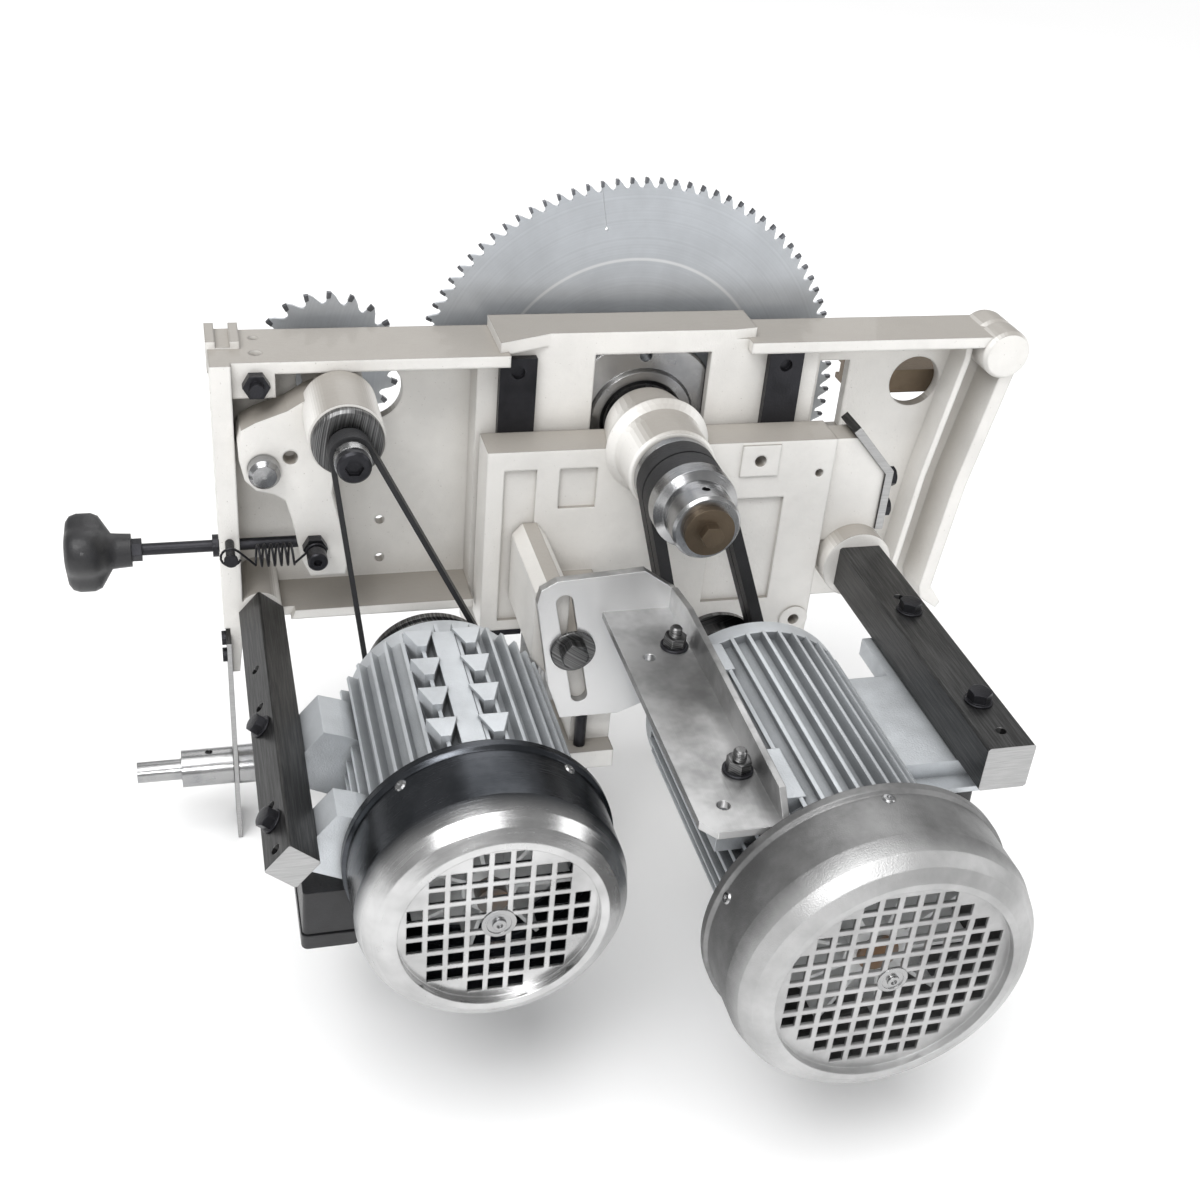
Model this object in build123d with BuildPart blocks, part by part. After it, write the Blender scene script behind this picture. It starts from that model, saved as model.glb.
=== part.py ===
from build123d import *

import os
from math import acos, atan2, cos, degrees, pi, radians, sin

# Saw unit of a panel saw: a cast frame, a carriage that slides up and down it with the main blade
# and its motor, and a tilting arm with the scoring blade. The origin is where the main spindle's
# axis meets the plane of the blades; X runs along the cut, +Y points away from the motors and +Z
# is up. Millimetres.

os.makedirs("parts", exist_ok=True)

# ---- clearances ----
gap = 0.3  # between pieces that move past each other
run = 0.06  # radial, a shaft in its own bore

# ---- blades ----
blade_r = 157.5
blade_body = 2.2
blade_kerf = 3.2
blade_teeth = 96
blade_bore = 15.0
gullet = 7.5
small_blade_r = 50.0
small_teeth = 20

# ---- frame casting ----
left = -290.0
right = 276.0
top = 61.0
bottom = -167.0
web_back = -17.0
web_front = -25.0
rim_back = -14.0
rim_depth_left = 53.0
rim_depth_right = 42.0
flange_t = 13.0
flange_front = -72.0
panel_left, panel_right = -118.0, 124.0
panel_back, panel_front = -41.0, -48.0
wall = 8.0
window_left, window_right = -38.0, 44.0
window_top, window_bottom = 52.0, -134.0
ledge_z = -131.0

# ---- carriage ----
travel = 95.0
rail_t = 6.0
plate_back = panel_front - rail_t - gap
plate_front = -84.0
plate_left, plate_right = -116.0, 132.0
plate_bottom = -140.0
heel_bottom = -165.0
pocket = 3.0
housing_r = 30.0
housing_end = -122.0
lug_left, lug_right = -97.0, -38.0
lug_front = -161.0
jack_x, jack_y = -60.0, -164.3

# ---- main spindle ----
spindle_r = 12.5
bearing_r = 23.5
bearing_w = 12.0
belt_w = 14.0
belt_t = 7.8
belt_pitch = 16.0
belt_back = -130.0
pulley_r = 19.2
drive_r = 25.9

# ---- main motor ----
motor_x, motor_z = 44.0, -142.0
shield_y, barrel_y, cover_y, motor_end = -188.0, -205.0, -388.0, -448.0
core_r, fin_r, cover_r, grill_r = 62.0, 69.0, 89.0, 68.6
shield_r = 68.0
shaft_r = 12.0
bar_x, bar_z = 161.0, -100.0
bar_side = 32.0
bar_back, bar_end = -92.3, -330.0
journal_r = 12.0
bracket_back = lug_front - gap
bracket_front = bracket_back - 6.0
slot_x, slot_z = -71.2, -103.0
shelf_left, shelf_right = -53.0, -4.0
shelf_top = -75.0
shelf_t = 5.0
shelf_end = -386.0
stud_x = -18.0
stud_ys = (-212.0, -337.0)

# ---- scoring arm ----
score_x, score_z = -211.0, 31.0
pivot_x, pivot_z = -260.0, -6.0
pin_r = 10.0
arm_back, arm_front = -54.0, -80.0
barrel_r, barrel_neck_r = 24.0, 19.5
barrel_back, barrel_front = -14.0, -118.0
small_shaft_r = 7.5
small_bearing_r = 16.0
flat_belt_w = 12.0
flat_belt_t = 3.2
flat_belt_back = -128.0
small_pulley_r = 9.7
hook_x, hook_z = -229.0, -65.0

# ---- scoring motor ----
small_x, small_z = -158.0, -139.0
small_shield_y, small_barrel_y, small_cover_y, small_end = -150.0, -174.0, -308.0, -374.0
small_shield_r, small_core_r, small_fin_r = 58.0, 62.0, 68.5
small_cover_r, small_grill_r = 77.0, 56.4
small_drive_r = 39.7
hang_x, hang_z = -265.0, -118.0
hang_side = 22.0
hang_back, hang_end = -72.3, -330.0
hang_journal_r = 8.0
hang_turn = -40.0

# ---- adjuster ----
rod_y, rod_z = -64.0, -70.0
rod_r = 4.0
knob_x, knob_end = left - 68.0, left - 97.0
knob_r = 30.0
spring_y = -90.5
ring_r = 6.4
post_x = left + 6.5

# ---- raising gear ----
screw_x, screw_y = -60.0, -66.0
screw_r = 7.0
lift_z = -253.0
lift_r = 8.0
lift_left = left - 66.0
lift_end = 30.0
foot_top, foot_bottom = -283.0, -290.0
plate_x = left + 1.0


def across(y, x=0.0, z=0.0):
    """Plane across the spindles at y, seen from the motors: local x is X, local y is Z."""
    return Plane(origin=(x, y, z), x_dir=(1, 0, 0), z_dir=(0, -1, 0))


def facing_left(x, y=0.0, z=0.0):
    """Plane facing -X."""
    return Plane(origin=(x, y, z), x_dir=(0, -1, 0), z_dir=(-1, 0, 0))


def facing_right(x, y=0.0, z=0.0):
    """Plane facing +X."""
    return Plane(origin=(x, y, z), x_dir=(0, 1, 0), z_dir=(1, 0, 0))


def facing_up(z, x=0.0, y=0.0):
    """Plane facing +Z."""
    return Plane(origin=(x, y, z))


def prism(plane, points, height, mode=Mode.ADD):
    """Straight-sided outline raised from a plane."""
    with BuildSketch(plane) as outline:
        with BuildLine():
            Polyline(*points, close=True)
        make_face()
    extrude(outline.sketch, amount=height, mode=mode)


def slab(points, back, front, mode=Mode.ADD):
    """(x, z) outline between two Y stations."""
    prism(across(back), points, back - front, mode)


def block(x0, x1, back, front, z0, z1, mode=Mode.ADD):
    """Square block from its limits."""
    slab([(x0, z0), (x1, z0), (x1, z1), (x0, z1)], back, front, mode)


def disc(plane, r, height, mode=Mode.ADD):
    """Round disc raised from a plane."""
    with BuildSketch(plane) as outline:
        Circle(r)
    extrude(outline.sketch, amount=height, mode=mode)


def bar(x, z, r, back, front, mode=Mode.ADD):
    """Round bar along Y between two stations."""
    disc(across(back, x, z), r, back - front, mode)


def hexagon(plane, flats, height, mode=Mode.ADD):
    """Hexagonal head raised from a plane."""
    with BuildSketch(plane) as outline:
        RegularPolygon(flats / 2, 6, major_radius=False)
    extrude(outline.sketch, amount=height, mode=mode)


def turned(points, x=0.0, z=0.0, mode=Mode.ADD):
    """(radius, y) outline turned about the Y line through x, z."""
    with BuildSketch(Plane((x, 0, z))) as outline:
        with BuildLine():
            Polyline(*points, close=True)
        make_face()
    revolve(outline.sketch, axis=Axis((x, 0, z), (0, 1, 0)), mode=mode)


def tube(x, z, outer, inner, back, front):
    """Ring along Y."""
    turned([(inner, back), (outer, back), (outer, front), (inner, front)], x, z)


def hull(plane, x0, z0, r0, x1, z1, r1, height, mode=Mode.ADD):
    """Belt-shaped outline round two circles, raised from a plane."""
    span = ((x1 - x0) ** 2 + (z1 - z0) ** 2) ** 0.5
    line = atan2(z1 - z0, x1 - x0)
    lean = acos((r0 - r1) / span)
    points = []
    for x, z, r, turn in ((x0, z0, r0, lean), (x1, z1, r1, lean), (x1, z1, r1, -lean), (x0, z0, r0, -lean)):
        points.append((x + r * cos(line + turn), z + r * sin(line + turn)))
    with BuildSketch(plane) as outline:
        with Locations((x0, z0)):
            Circle(r0)
        with Locations((x1, z1)):
            Circle(r1)
        with BuildLine():
            Polyline(*points, close=True)
        make_face()
    extrude(outline.sketch, amount=height, mode=mode)


def toothed(x, z, r, body, kerf, teeth, bore, gullet):
    """Saw blade: disc with gullets cut into its rim and a wider tip in front of each gullet."""
    bar(x, z, r - gullet * 0.55, body / 2, -body / 2)
    step = 2 * pi / teeth
    tooth = []
    for n in range(teeth):
        a = n * step
        for turn, radius in ((0.0, r - gullet), (0.12, r), (0.38, r - 0.6), (0.72, r - gullet)):
            tooth.append((x + radius * cos(a + turn * step), z + radius * sin(a + turn * step)))
    slab(tooth, body / 2, -body / 2)
    tip = min(0.22 * step * r, 3.2)
    with BuildSketch(across(kerf / 2, x, z)) as tips:
        with PolarLocations(r - gullet * 0.35, teeth, start_angle=degrees(0.16 * step)):
            Rectangle(gullet * 0.6, tip)
    extrude(tips.sketch, amount=kerf)
    bar(x, z, bore, kerf, -kerf, Mode.SUBTRACT)


def finned(x, z, core, fin, back, front, fins, fin_t=2.4):
    """Motor barrel with long fins."""
    bar(x, z, core, back, front)
    with BuildSketch(across(back, x, z)) as ring:
        with PolarLocations((core + fin) / 2 - 1.0, fins):
            Rectangle(fin - core + 2.0, fin_t)
    extrude(ring.sketch, amount=back - front)


def shell(x, z, outer, inner_step, grill, back, front, pitch, hole, centre):
    """Fan cover: rolled rear edge, rounded shoulder and a square-hole grill in a sunk face."""
    turned(
        [
            (outer - 2.0, back),
            (outer, back),
            (outer, front + 22.0),
            (outer - 3.0, front + 11.0),
            (outer - 8.5, front + 4.0),
            (outer - inner_step, front),
            (grill, front),
            (grill, front + 5.0),
            (0.0, front + 5.0),
            (0.0, front + 7.0),
            (grill + 2.0, front + 7.0),
            (outer - inner_step - 1.0, front + 2.2),
            (outer - 10.0, front + 6.0),
            (outer - 5.0, front + 12.5),
            (outer - 2.0, front + 22.5),
        ],
        x,
        z,
    )
    bead = outer + 2.2
    turned([(outer - 0.5, back), (bead, back), (bead, back - 5.0), (outer - 0.5, back - 7.0)], x, z)
    count = int(grill / pitch) + 1
    spots = []
    for i in range(-count, count + 1):
        for j in range(-count, count + 1):
            away = ((i * pitch) ** 2 + (j * pitch) ** 2) ** 0.5
            if centre < away and away + hole * 0.75 < grill:
                spots.append((x + i * pitch, z + j * pitch))
    with BuildSketch(across(front + 9.0)) as holes:
        with Locations(*spots):
            Rectangle(hole, hole)
    extrude(holes.sketch, amount=12.0, mode=Mode.SUBTRACT)


def save(piece, name):
    piece.part.label = name
    export_step(piece.part, f"parts/{name}.step")


# ---- frame ----
rim_low = top - 8.0
middle_top = top + 7.0
slant = [(right, top), (right, 40.0), (257.0, -58.0), (247.0, -147.0), (258.0, -162.0), (255.0, bottom)]
with BuildPart() as main_frame:
    block(left + 2.0, panel_left + wall, web_back, web_front, ledge_z, top)
    edge = panel_right - wall
    slab([(edge, top)] + [(x - 4.0, z) for x, z in slant] + [(edge, bottom)], web_back, web_front)
    block(panel_left, panel_right, panel_back, panel_front, bottom, top)
    block(panel_left, panel_left + wall, web_back, panel_front, bottom, top)
    block(panel_right - wall, panel_right, web_back, panel_front, bottom, top)
    # rim along the top
    block(left + 2.0, -100.0, rim_back, rim_back - rim_depth_left, rim_low, top)
    prism(
        facing_up(top - 2.0),
        [(-106.0, rim_back), (76.0, rim_back), (76.0, -45.0), (60.0, -48.0), (-70.0, -48.0), (-106.0, -62.0)],
        middle_top - top + 2.0,
    )
    block(70.0, right, rim_back, rim_back - rim_depth_right, rim_low, top)
    # left flange with its tongue, end pad and stop-screw boss
    block(left, left + flange_t, web_back, flange_front, ledge_z, top)
    tongue = left + 4.0
    tip = tongue + 5.0
    slab([(tongue, ledge_z), (tongue, bottom), (tip, bottom), (tip + 4.0, ledge_z)], -42.0, flange_front)
    block(left - 1.0, left + 20.0, rim_back, -45.0, top - 16.0, top + 5.0)
    block(left + 5.0, left + 14.0, 0.0, -60.0, top + 1.0, top + 9.0, Mode.SUBTRACT)
    block(left + 9.0, left + 40.0, web_back, rim_back - rim_depth_left, top - 24.0, top)
    # ledge at the bottom, bosses of the arm pivot and of the motor bar
    block(left + 9.0, panel_left, web_front, -66.0, ledge_z, ledge_z + 7.0)
    bar(hang_x, hang_z, 24.0, -60.0, -67.0, Mode.SUBTRACT)
    bar(pivot_x, pivot_z, 17.0, web_back, arm_back + gap)
    bar(hang_x, hang_z, 14.0, web_back, hang_back + gap)
    # slanted flange at the right and the rib beside it
    slab(
        slant + [(240.0, -157.0), (237.0, -147.0), (247.0, -57.0), (right - 11.0, 38.0), (right - 11.0, top)],
        web_back,
        rim_back - rim_depth_right,
    )
    slab(
        [
            (243.0, top - 4.0),
            (243.0, 40.0),
            (227.0, -56.0),
            (218.0, -145.0),
            (213.0, -145.0),
            (222.0, -56.0),
            (238.0, 40.0),
            (238.0, top - 4.0),
        ],
        web_back,
        -46.0,
    )
    # trunnion knuckle
    turned([(0.0, rim_back), (17.0, rim_back), (18.0, -18.0), (18.0, -34.0), (16.0, -37.0), (18.0, -40.0),
            (18.0, -57.0), (16.0, -60.0), (0.0, -60.0)], right - 12.0, 48.0)
    # windows
    block(window_left, window_right, 0.0, -60.0, window_bottom, window_top, Mode.SUBTRACT)
    block(136.0, 159.0, 0.0, -40.0, -20.0, 33.0, Mode.SUBTRACT)
    bar(213.0, 14.6, 19.5, 0.0, -40.0, Mode.SUBTRACT)
    hull(across(0.0), score_x, score_z - 2.0, barrel_neck_r + 4.0, -186.0, 21.0, 22.0, 40.0, Mode.SUBTRACT)
    # bores
    bar(pivot_x, pivot_z, pin_r, 0.0, -80.0, Mode.SUBTRACT)
    bar(hang_x, hang_z, hang_journal_r + run, 0.0, -80.0, Mode.SUBTRACT)
    bar(left + 28.0, 47.0, 4.0, -30.0, -80.0, Mode.SUBTRACT)
    bar(right - 12.0, 48.0, 5.1, 0.0, -39.0, Mode.SUBTRACT)
    for z in (-79.0, -110.0):
        bar(-179.0, z, 3.4, 0.0, -40.0, Mode.SUBTRACT)
    for y in (-30.0, -60.0):
        for z in (-30.0, 30.0):
            disc(facing_right(left - 5.0, y, z), 4.25, 25.0, Mode.SUBTRACT)
    disc(facing_right(left - 5.0, rod_y, rod_z), rod_r + run, 25.0, Mode.SUBTRACT)
    disc(facing_up(top - 16.0, left + 29.0, -28.0), 3.0, 30.0, Mode.SUBTRACT)
    disc(facing_up(top - 16.0, left + 29.0, -52.0), 4.0, 30.0, Mode.SUBTRACT)
save(main_frame, "main_frame")

with BuildPart() as guide_rails:
    for x0, x1 in ((-104.0, -79.0), (85.0, 110.0)):
        block(x0, x1, panel_front, panel_front - rail_t, bottom + 2.0, rim_low)
        for z in (bottom + 14.0, top - 18.0):
            bar((x0 + x1) / 2, z, 4.5, panel_front - 2.0, panel_front - 10.0, Mode.SUBTRACT)
save(guide_rails, "guide_rails")

with BuildPart() as gear_bracket:
    bracket_face = panel_front - 5.0
    block(-77.0, -40.0, panel_front, bracket_face, foot_bottom, bottom + 22.0)
    block(-86.0, -40.0, panel_front, bracket_face, foot_bottom, -239.0)
    block(-86.0, -80.0, bracket_face, -82.0, foot_bottom, -239.0)
    block(-86.0, -40.0, bracket_face, -82.0, foot_bottom, foot_top)
    disc(facing_right(-90.0, screw_y, lift_z), lift_r + run, 15.0, Mode.SUBTRACT)
    disc(facing_up(foot_bottom - 5.0, screw_x, screw_y), screw_r - 1.0 + run, 20.0, Mode.SUBTRACT)
    for x in (-68.0, -49.0):
        bar(x, bottom + 12.0, 3.0, panel_front + 1.0, bracket_face - 1.0, Mode.SUBTRACT)
save(gear_bracket, "gear_bracket")

with BuildPart() as shaft_plate:
    block(plate_x, left + 4.0, -48.0, -84.0, -307.0, -136.0)
    disc(facing_right(plate_x - 5.0, screw_y, lift_z), lift_r + run, 15.0, Mode.SUBTRACT)
save(shaft_plate, "shaft_plate")

with BuildPart() as frame_screws:
    for z in (-145.0, -159.0):
        disc(facing_left(plate_x, -62.0, z), 5.0, 3.0)
        hexagon(facing_left(plate_x - 1.5, -62.0, z), 4.0, 3.0, Mode.SUBTRACT)
    hexagon(across(rim_back - rim_depth_left, left + 28.0, 47.0), 15.0, 7.0)
    bar(left + 28.0, 47.0, 4.5, rim_back - rim_depth_left - 5.0, rim_back - rim_depth_left - 13.0)
    turned([(0.0, flange_front), (3.0, flange_front), (3.0, -94.0), (4.5, -94.0), (4.5, -96.0), (0.0, -96.0)],
           post_x, hook_z + 1.0)
save(frame_screws, "frame_screws")

with BuildPart() as rear_rail:
    block(168.0, right - 2.0, 14.0, web_back, 2.0, 20.0)
    block(168.0, right - 2.0, 15.5, 8.0, 6.0, 16.0, Mode.SUBTRACT)
save(rear_rail, "rear_rail")

with BuildPart() as pivot_pin:
    turned([(0.0, web_back - 2.0), (pin_r - 1.0, web_back - 2.0), (pin_r, web_back - 3.0), (pin_r, -89.0),
            (pin_r - 2.5, -92.0), (0.0, -92.5)], pivot_x, pivot_z)
save(pivot_pin, "pivot_pin")

# ---- carriage ----
boss_r = 26.0
with BuildPart() as carriage:
    slab(
        [
            (plate_left, 0.0),
            (plate_left, plate_bottom),
            (56.0, plate_bottom),
            (66.0, heel_bottom),
            (plate_right, heel_bottom),
            (plate_right, 0.0),
        ],
        plate_back,
        plate_front,
    )
    # pockets in the face of the plate
    pockets = ((-104.0, -82.0, -132.0, -14.0), (46.0, 98.0, -128.0, -44.0), (-66.0, -40.0, -44.0, -14.0))
    for x0, x1, z0, z1 in pockets:
        block(x0, x1, plate_front + pocket, plate_front - 1.0, z0, z1, Mode.SUBTRACT)
    # lug for the belt plate at the right, boss of the square bar
    block(plate_right - 2.0, 177.0, plate_back, -76.0, -86.0, -4.0)
    slab([(190.0, 1.0), (146.5, 1.0), (177.0, -33.2), (190.0, -33.2)], -40.0, -90.0, Mode.SUBTRACT)
    bar(bar_x, bar_z, boss_r, plate_back, bar_back + gap)
    # bearing housing
    turned(
        [
            (0.0, panel_front - 1.0),
            (27.5, panel_front - 1.0),
            (28.5, -51.0),
            (33.0, -76.0),
            (36.0, plate_front),
            (31.0, plate_front - 6.0),
            (housing_r, plate_front - 12.0),
            (housing_r, housing_end + 2.0),
            (housing_r - 1.5, housing_end),
            (0.0, housing_end),
        ]
    )
    # pads
    block(62.0, 90.0, plate_front + 1.0, plate_front - 1.5, -26.0, -2.0)
    bar(121.0, -148.0, 11.0, plate_front + 1.0, plate_front - 1.5)
    # lug that carries the belt tension bracket, with the leg of the jack screw
    slab(
        [
            (lug_left, -62.0),
            (lug_left + 7.0, -54.0),
            (lug_left + 17.0, -54.0),
            (lug_left + 23.0, -62.0),
            (lug_left + 23.0, -94.0),
            (lug_right, -94.0),
            (lug_right, -150.0),
            (-66.0, -150.0),
            (lug_left, -112.0),
        ],
        plate_front,
        lug_front,
    )
    block(-66.0, lug_right, -112.0, lug_front + 1.5, -213.0, -148.0)
    block(-72.0, lug_right, -112.0, jack_y - 10.0, -198.0, -184.0)
    block(-70.0, lug_right + 1.0, lug_front + 5.0, lug_front - 1.0, -214.0, -198.0, Mode.SUBTRACT)
    # bores
    bar(0.0, 0.0, bearing_r - 3.5, 0.0, -150.0, Mode.SUBTRACT)
    bar(0.0, 0.0, bearing_r, 0.0, -54.0 - bearing_w, Mode.SUBTRACT)
    bar(0.0, 0.0, bearing_r, housing_end + 4.0 + bearing_w, -150.0, Mode.SUBTRACT)
    bar(bar_x, bar_z, journal_r + run, 0.0, -120.0, Mode.SUBTRACT)
    bar(76.0, -14.0, 4.25, -64.0, -90.0, Mode.SUBTRACT)
    bar(121.0, -148.0, 4.25, -64.0, -90.0, Mode.SUBTRACT)
    bar(122.0, -26.0, 3.0, -64.0, -90.0, Mode.SUBTRACT)
    bar(slot_x, slot_z, 4.25, -135.0, -170.0, Mode.SUBTRACT)
    nut_seat = facing_up(plate_bottom - 5.0, screw_x, screw_y)
    disc(nut_seat, screw_r + 1.0, travel + 24.0, Mode.SUBTRACT)
    disc(facing_up(-215.0, jack_x, jack_y), 4.0 + run, 40.0, Mode.SUBTRACT)
    for z in (-38.0, -63.0):
        disc(facing_right(160.0, -65.0, z), 4.2, 20.0, Mode.SUBTRACT)
save(carriage, "carriage")

with BuildPart() as raise_nut:
    disc(facing_up(plate_bottom - 4.0, screw_x, screw_y), 13.0, 4.0)
    disc(facing_up(plate_bottom, screw_x, screw_y), screw_r + 1.0, 20.0)
    disc(facing_up(plate_bottom - 5.0, screw_x, screw_y), screw_r + run, 30.0, Mode.SUBTRACT)
save(raise_nut, "raise_nut")

with BuildPart() as spindle_bearings:
    for y in (-54.0, housing_end + 4.0 + bearing_w):
        tube(0.0, 0.0, bearing_r, bearing_r - 3.6, y, y - bearing_w)
        tube(0.0, 0.0, spindle_r + 3.4, spindle_r + run, y, y - bearing_w)
        tube(0.0, 0.0, bearing_r - 3.0, spindle_r + 3.0, y - 1.5, y - bearing_w + 1.5)
save(spindle_bearings, "spindle_bearings")

with BuildPart() as clamp_plate:
    bend = [(177.0, -78.5), (183.0, -78.5), (183.0, -31.0), (151.0, 5.0), (146.5, 1.0), (177.0, -33.2)]
    slab(bend, -52.0, -78.0)
    for z in (-38.0 - 4.0, -63.0 - 4.0):
        disc(facing_right(170.0, -65.0, z), 4.2, 20.0, Mode.SUBTRACT)
save(clamp_plate, "clamp_plate")

with BuildPart() as clamp_bolts:
    for z in (-42.0, -67.0):
        disc(facing_right(183.0, -65.0, z), 9.0, 1.6)
        hexagon(facing_right(184.6, -65.0, z), 13.0, 6.0)
save(clamp_bolts, "clamp_bolts")

with BuildPart() as slot_bolt:
    bar(slot_x, slot_z, 4.25, -136.0, bracket_front - gap - 1.0)
    bar(slot_x, slot_z, 15.0, bracket_front - gap, bracket_front - gap - 2.5)
    hexagon(across(bracket_front - gap - 2.5, slot_x, slot_z), 17.0, 7.0)
save(slot_bolt, "slot_bolt")

with BuildPart() as jack_screw:
    disc(facing_up(-204.0, jack_x, jack_y), 4.0, 204.0 - 158.0 - gap)
    hexagon(facing_up(-209.0, jack_x, jack_y), 13.0, 6.0)
    hexagon(facing_up(-203.0, jack_x, jack_y), 13.0, 5.0)
save(jack_screw, "jack_screw")

with BuildPart() as main_belts:
    inner, outer = pulley_r + gap, drive_r + gap
    for n in range(2):
        y = belt_back - n * belt_pitch
        hull(across(y), 0.0, 0.0, inner + belt_t, motor_x, motor_z, outer + belt_t, belt_w)
    for n in range(2):
        y = belt_back - n * belt_pitch
        hull(across(y + 1.0), 0.0, 0.0, inner, motor_x, motor_z, outer, belt_w + 2.0, Mode.SUBTRACT)
save(main_belts, "main_belts")

# ---- main spindle ----
with BuildPart() as main_spindle:
    half = blade_body / 2
    turned(
        [
            (0.0, 21.0),
            (9.0, 21.0),
            (9.0, half),
            (blade_bore, half - 0.1),
            (blade_bore, -2.0),
            (18.0, -2.0),
            (18.0, -44.0),
            (15.5, -50.0),
            (spindle_r, -52.0),
            (spindle_r, -122.0),
            (11.0, -123.5),
            (11.0, -190.0),
            (0.0, -190.0),
        ]
    )
save(main_spindle, "main_spindle")

with BuildPart() as blade_flange:
    turned(
        [
            (18.0, -blade_body / 2),
            (40.0, -blade_body / 2),
            (40.0, -26.0),
            (58.0, -28.0),
            (58.0, -39.0),
            (56.5, -40.0),
            (38.0, -40.0),
            (36.0, -43.0),
            (30.0, -43.0),
            (27.0, -42.0),
            (18.0, -42.0),
        ]
    )
    bar(0.0, 47.0, 4.5, -20.0, -45.0, Mode.SUBTRACT)
save(blade_flange, "blade_flange")

with BuildPart() as main_blade:
    toothed(0.0, 0.0, blade_r, blade_body, blade_kerf, blade_teeth, blade_bore, gullet)
save(main_blade, "main_blade")

with BuildPart() as arbor_nut:
    turned([(9.0, blade_body / 2), (34.0, blade_body / 2), (34.0, 6.0), (22.0, 9.0), (9.0, 9.0)])
    hexagon(Plane(origin=(0, 9.0, 0), x_dir=(1, 0, 0), z_dir=(0, 1, 0)), 27.0, 10.0)
    bar(0.0, 0.0, 9.0, 30.0, 0.0, Mode.SUBTRACT)
save(arbor_nut, "arbor_nut")

with BuildPart() as main_pulley:
    pulley_back, pulley_front = belt_back + 6.0, belt_back - belt_pitch - belt_w - 1.0
    points = [(11.0, pulley_back), (27.2, pulley_back), (27.2, belt_back + gap)]
    for n in range(2):
        y = belt_back - n * belt_pitch
        y0, y1 = y + gap, y - belt_w - gap
        points += [(25.5, y0), (pulley_r, y0), (pulley_r, y1), (25.5, y1)]
    end = pulley_front - 13.0
    points += [(27.8, pulley_front + 0.6), (27.8, end + 3.0), (22.2, end), (11.0, end)]
    turned(points)
    bar(0.0, 0.0, 11.0, -100.0, -200.0, Mode.SUBTRACT)
save(main_pulley, "main_pulley")

with BuildPart() as lock_hub:
    turned([(11.0, -174.0), (22.0, -174.0), (22.0, -194.0), (20.5, -196.0), (11.0, -196.0)])
    for n in range(3):
        turn = radians(90 + 120 * n)
        out = Vector(cos(turn), 0, sin(turn))
        with Locations(Plane(origin=Vector(0, -185, 0) + 22 * out, z_dir=out)):
            Hole(2.6, 8.0)
save(lock_hub, "lock_hub")

with BuildPart() as end_bolt:
    tube(0.0, 0.0, 16.0, 6.0, -196.0, -201.0)
    bar(0.0, 0.0, 6.0, -190.0, -202.0)
    hexagon(across(-201.0), 13.0, 6.5)
save(end_bolt, "end_bolt")

# ---- main motor ----
with BuildPart() as main_motor_bar:
    half = bar_side / 2
    with BuildSketch(across(bar_back, bar_x, bar_z)) as square:
        Rectangle(bar_side, bar_side)
    extrude(square.sketch, amount=bar_back - bar_end)
    chamfer(edges().filter_by(Axis.Y), 1.5)
    bar(bar_x, bar_z, journal_r, plate_back - 1.0, bar_back - 1.0)
    for y in (-161.0, -314.0):
        disc(facing_up(bar_z - half - 1.0, bar_x, y), 3.4, bar_side + 2.0, Mode.SUBTRACT)
save(main_motor_bar, "main_motor_bar")

bar_bolt_ys = (-178.0, -283.0)
foot_top_z = bar_z - bar_side / 2
with BuildPart() as bar_bolts:
    for y in bar_bolt_ys:
        disc(facing_up(bar_z + bar_side / 2, bar_x, y), 9.0, 1.6)
        hexagon(facing_up(bar_z + bar_side / 2 + 1.6, bar_x, y), 13.0, 6.5)
save(bar_bolts, "bar_bolts")

with BuildPart() as main_motor_body:
    finned(motor_x, motor_z, core_r, fin_r, barrel_y, cover_y, 40)
    block(motor_x + 50.0, bar_x + 20.0, -165.0 - 42.0, -300.0, foot_top_z - 13.0, foot_top_z)
    block(bar_x - 22.0, bar_x + 20.0, -162.0, -210.0, foot_top_z - 13.0, foot_top_z)
    block(motor_x + 30.0, bar_x, -232.0, -312.0, foot_top_z - 16.0, foot_top_z - 12.0)
    for y in stud_ys:
        pad_top = shelf_top - shelf_t
        block(stud_x - 16.0, stud_x + 34.0, min(y + 22.0, barrel_y - 1.0), y - 22.0, pad_top - 34.0, pad_top)
    bar(motor_x, motor_z, core_r - 10.0, barrel_y + 1.0, cover_y - 1.0, Mode.SUBTRACT)
    tube(motor_x, motor_z, core_r - 9.0, 26.0, cover_y + 10.0, cover_y)
save(main_motor_body, "main_motor_body")

with BuildPart() as main_end_shield:
    rim = shield_y - 5.0
    turned([(26.0, shield_y), (60.0, shield_y), (shield_r, rim), (shield_r, barrel_y), (26.0, barrel_y)],
           motor_x, motor_z)
    turned([(26.0, shield_y + 1.0), (30.0, shield_y + 1.0), (34.0, shield_y - 1.0), (26.0, shield_y - 1.0)],
           motor_x, motor_z)
    with BuildSketch(across(shield_y + 1.0, motor_x, motor_z)) as pockets:
        with PolarLocations(46.0, 8):
            Rectangle(18.0, 12.0)
    extrude(pockets.sketch, amount=6.0, mode=Mode.SUBTRACT)
save(main_end_shield, "main_end_shield")

with BuildPart() as main_motor_inside:
    tube(motor_x, motor_z, core_r - 10.0, 35.0, -230.0, -350.0)
    tube(motor_x, motor_z, core_r - 13.0, 38.0, -218.0, -231.0)
    tube(motor_x, motor_z, core_r - 13.0, 38.0, -349.0, -362.0)
    for y, y1 in ((shield_y - 1.0, shield_y - 11.0), (cover_y + 10.0, cover_y)):
        tube(motor_x, motor_z, 26.0, shaft_r + run, y, y1)
save(main_motor_inside, "main_motor_inside")

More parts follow.
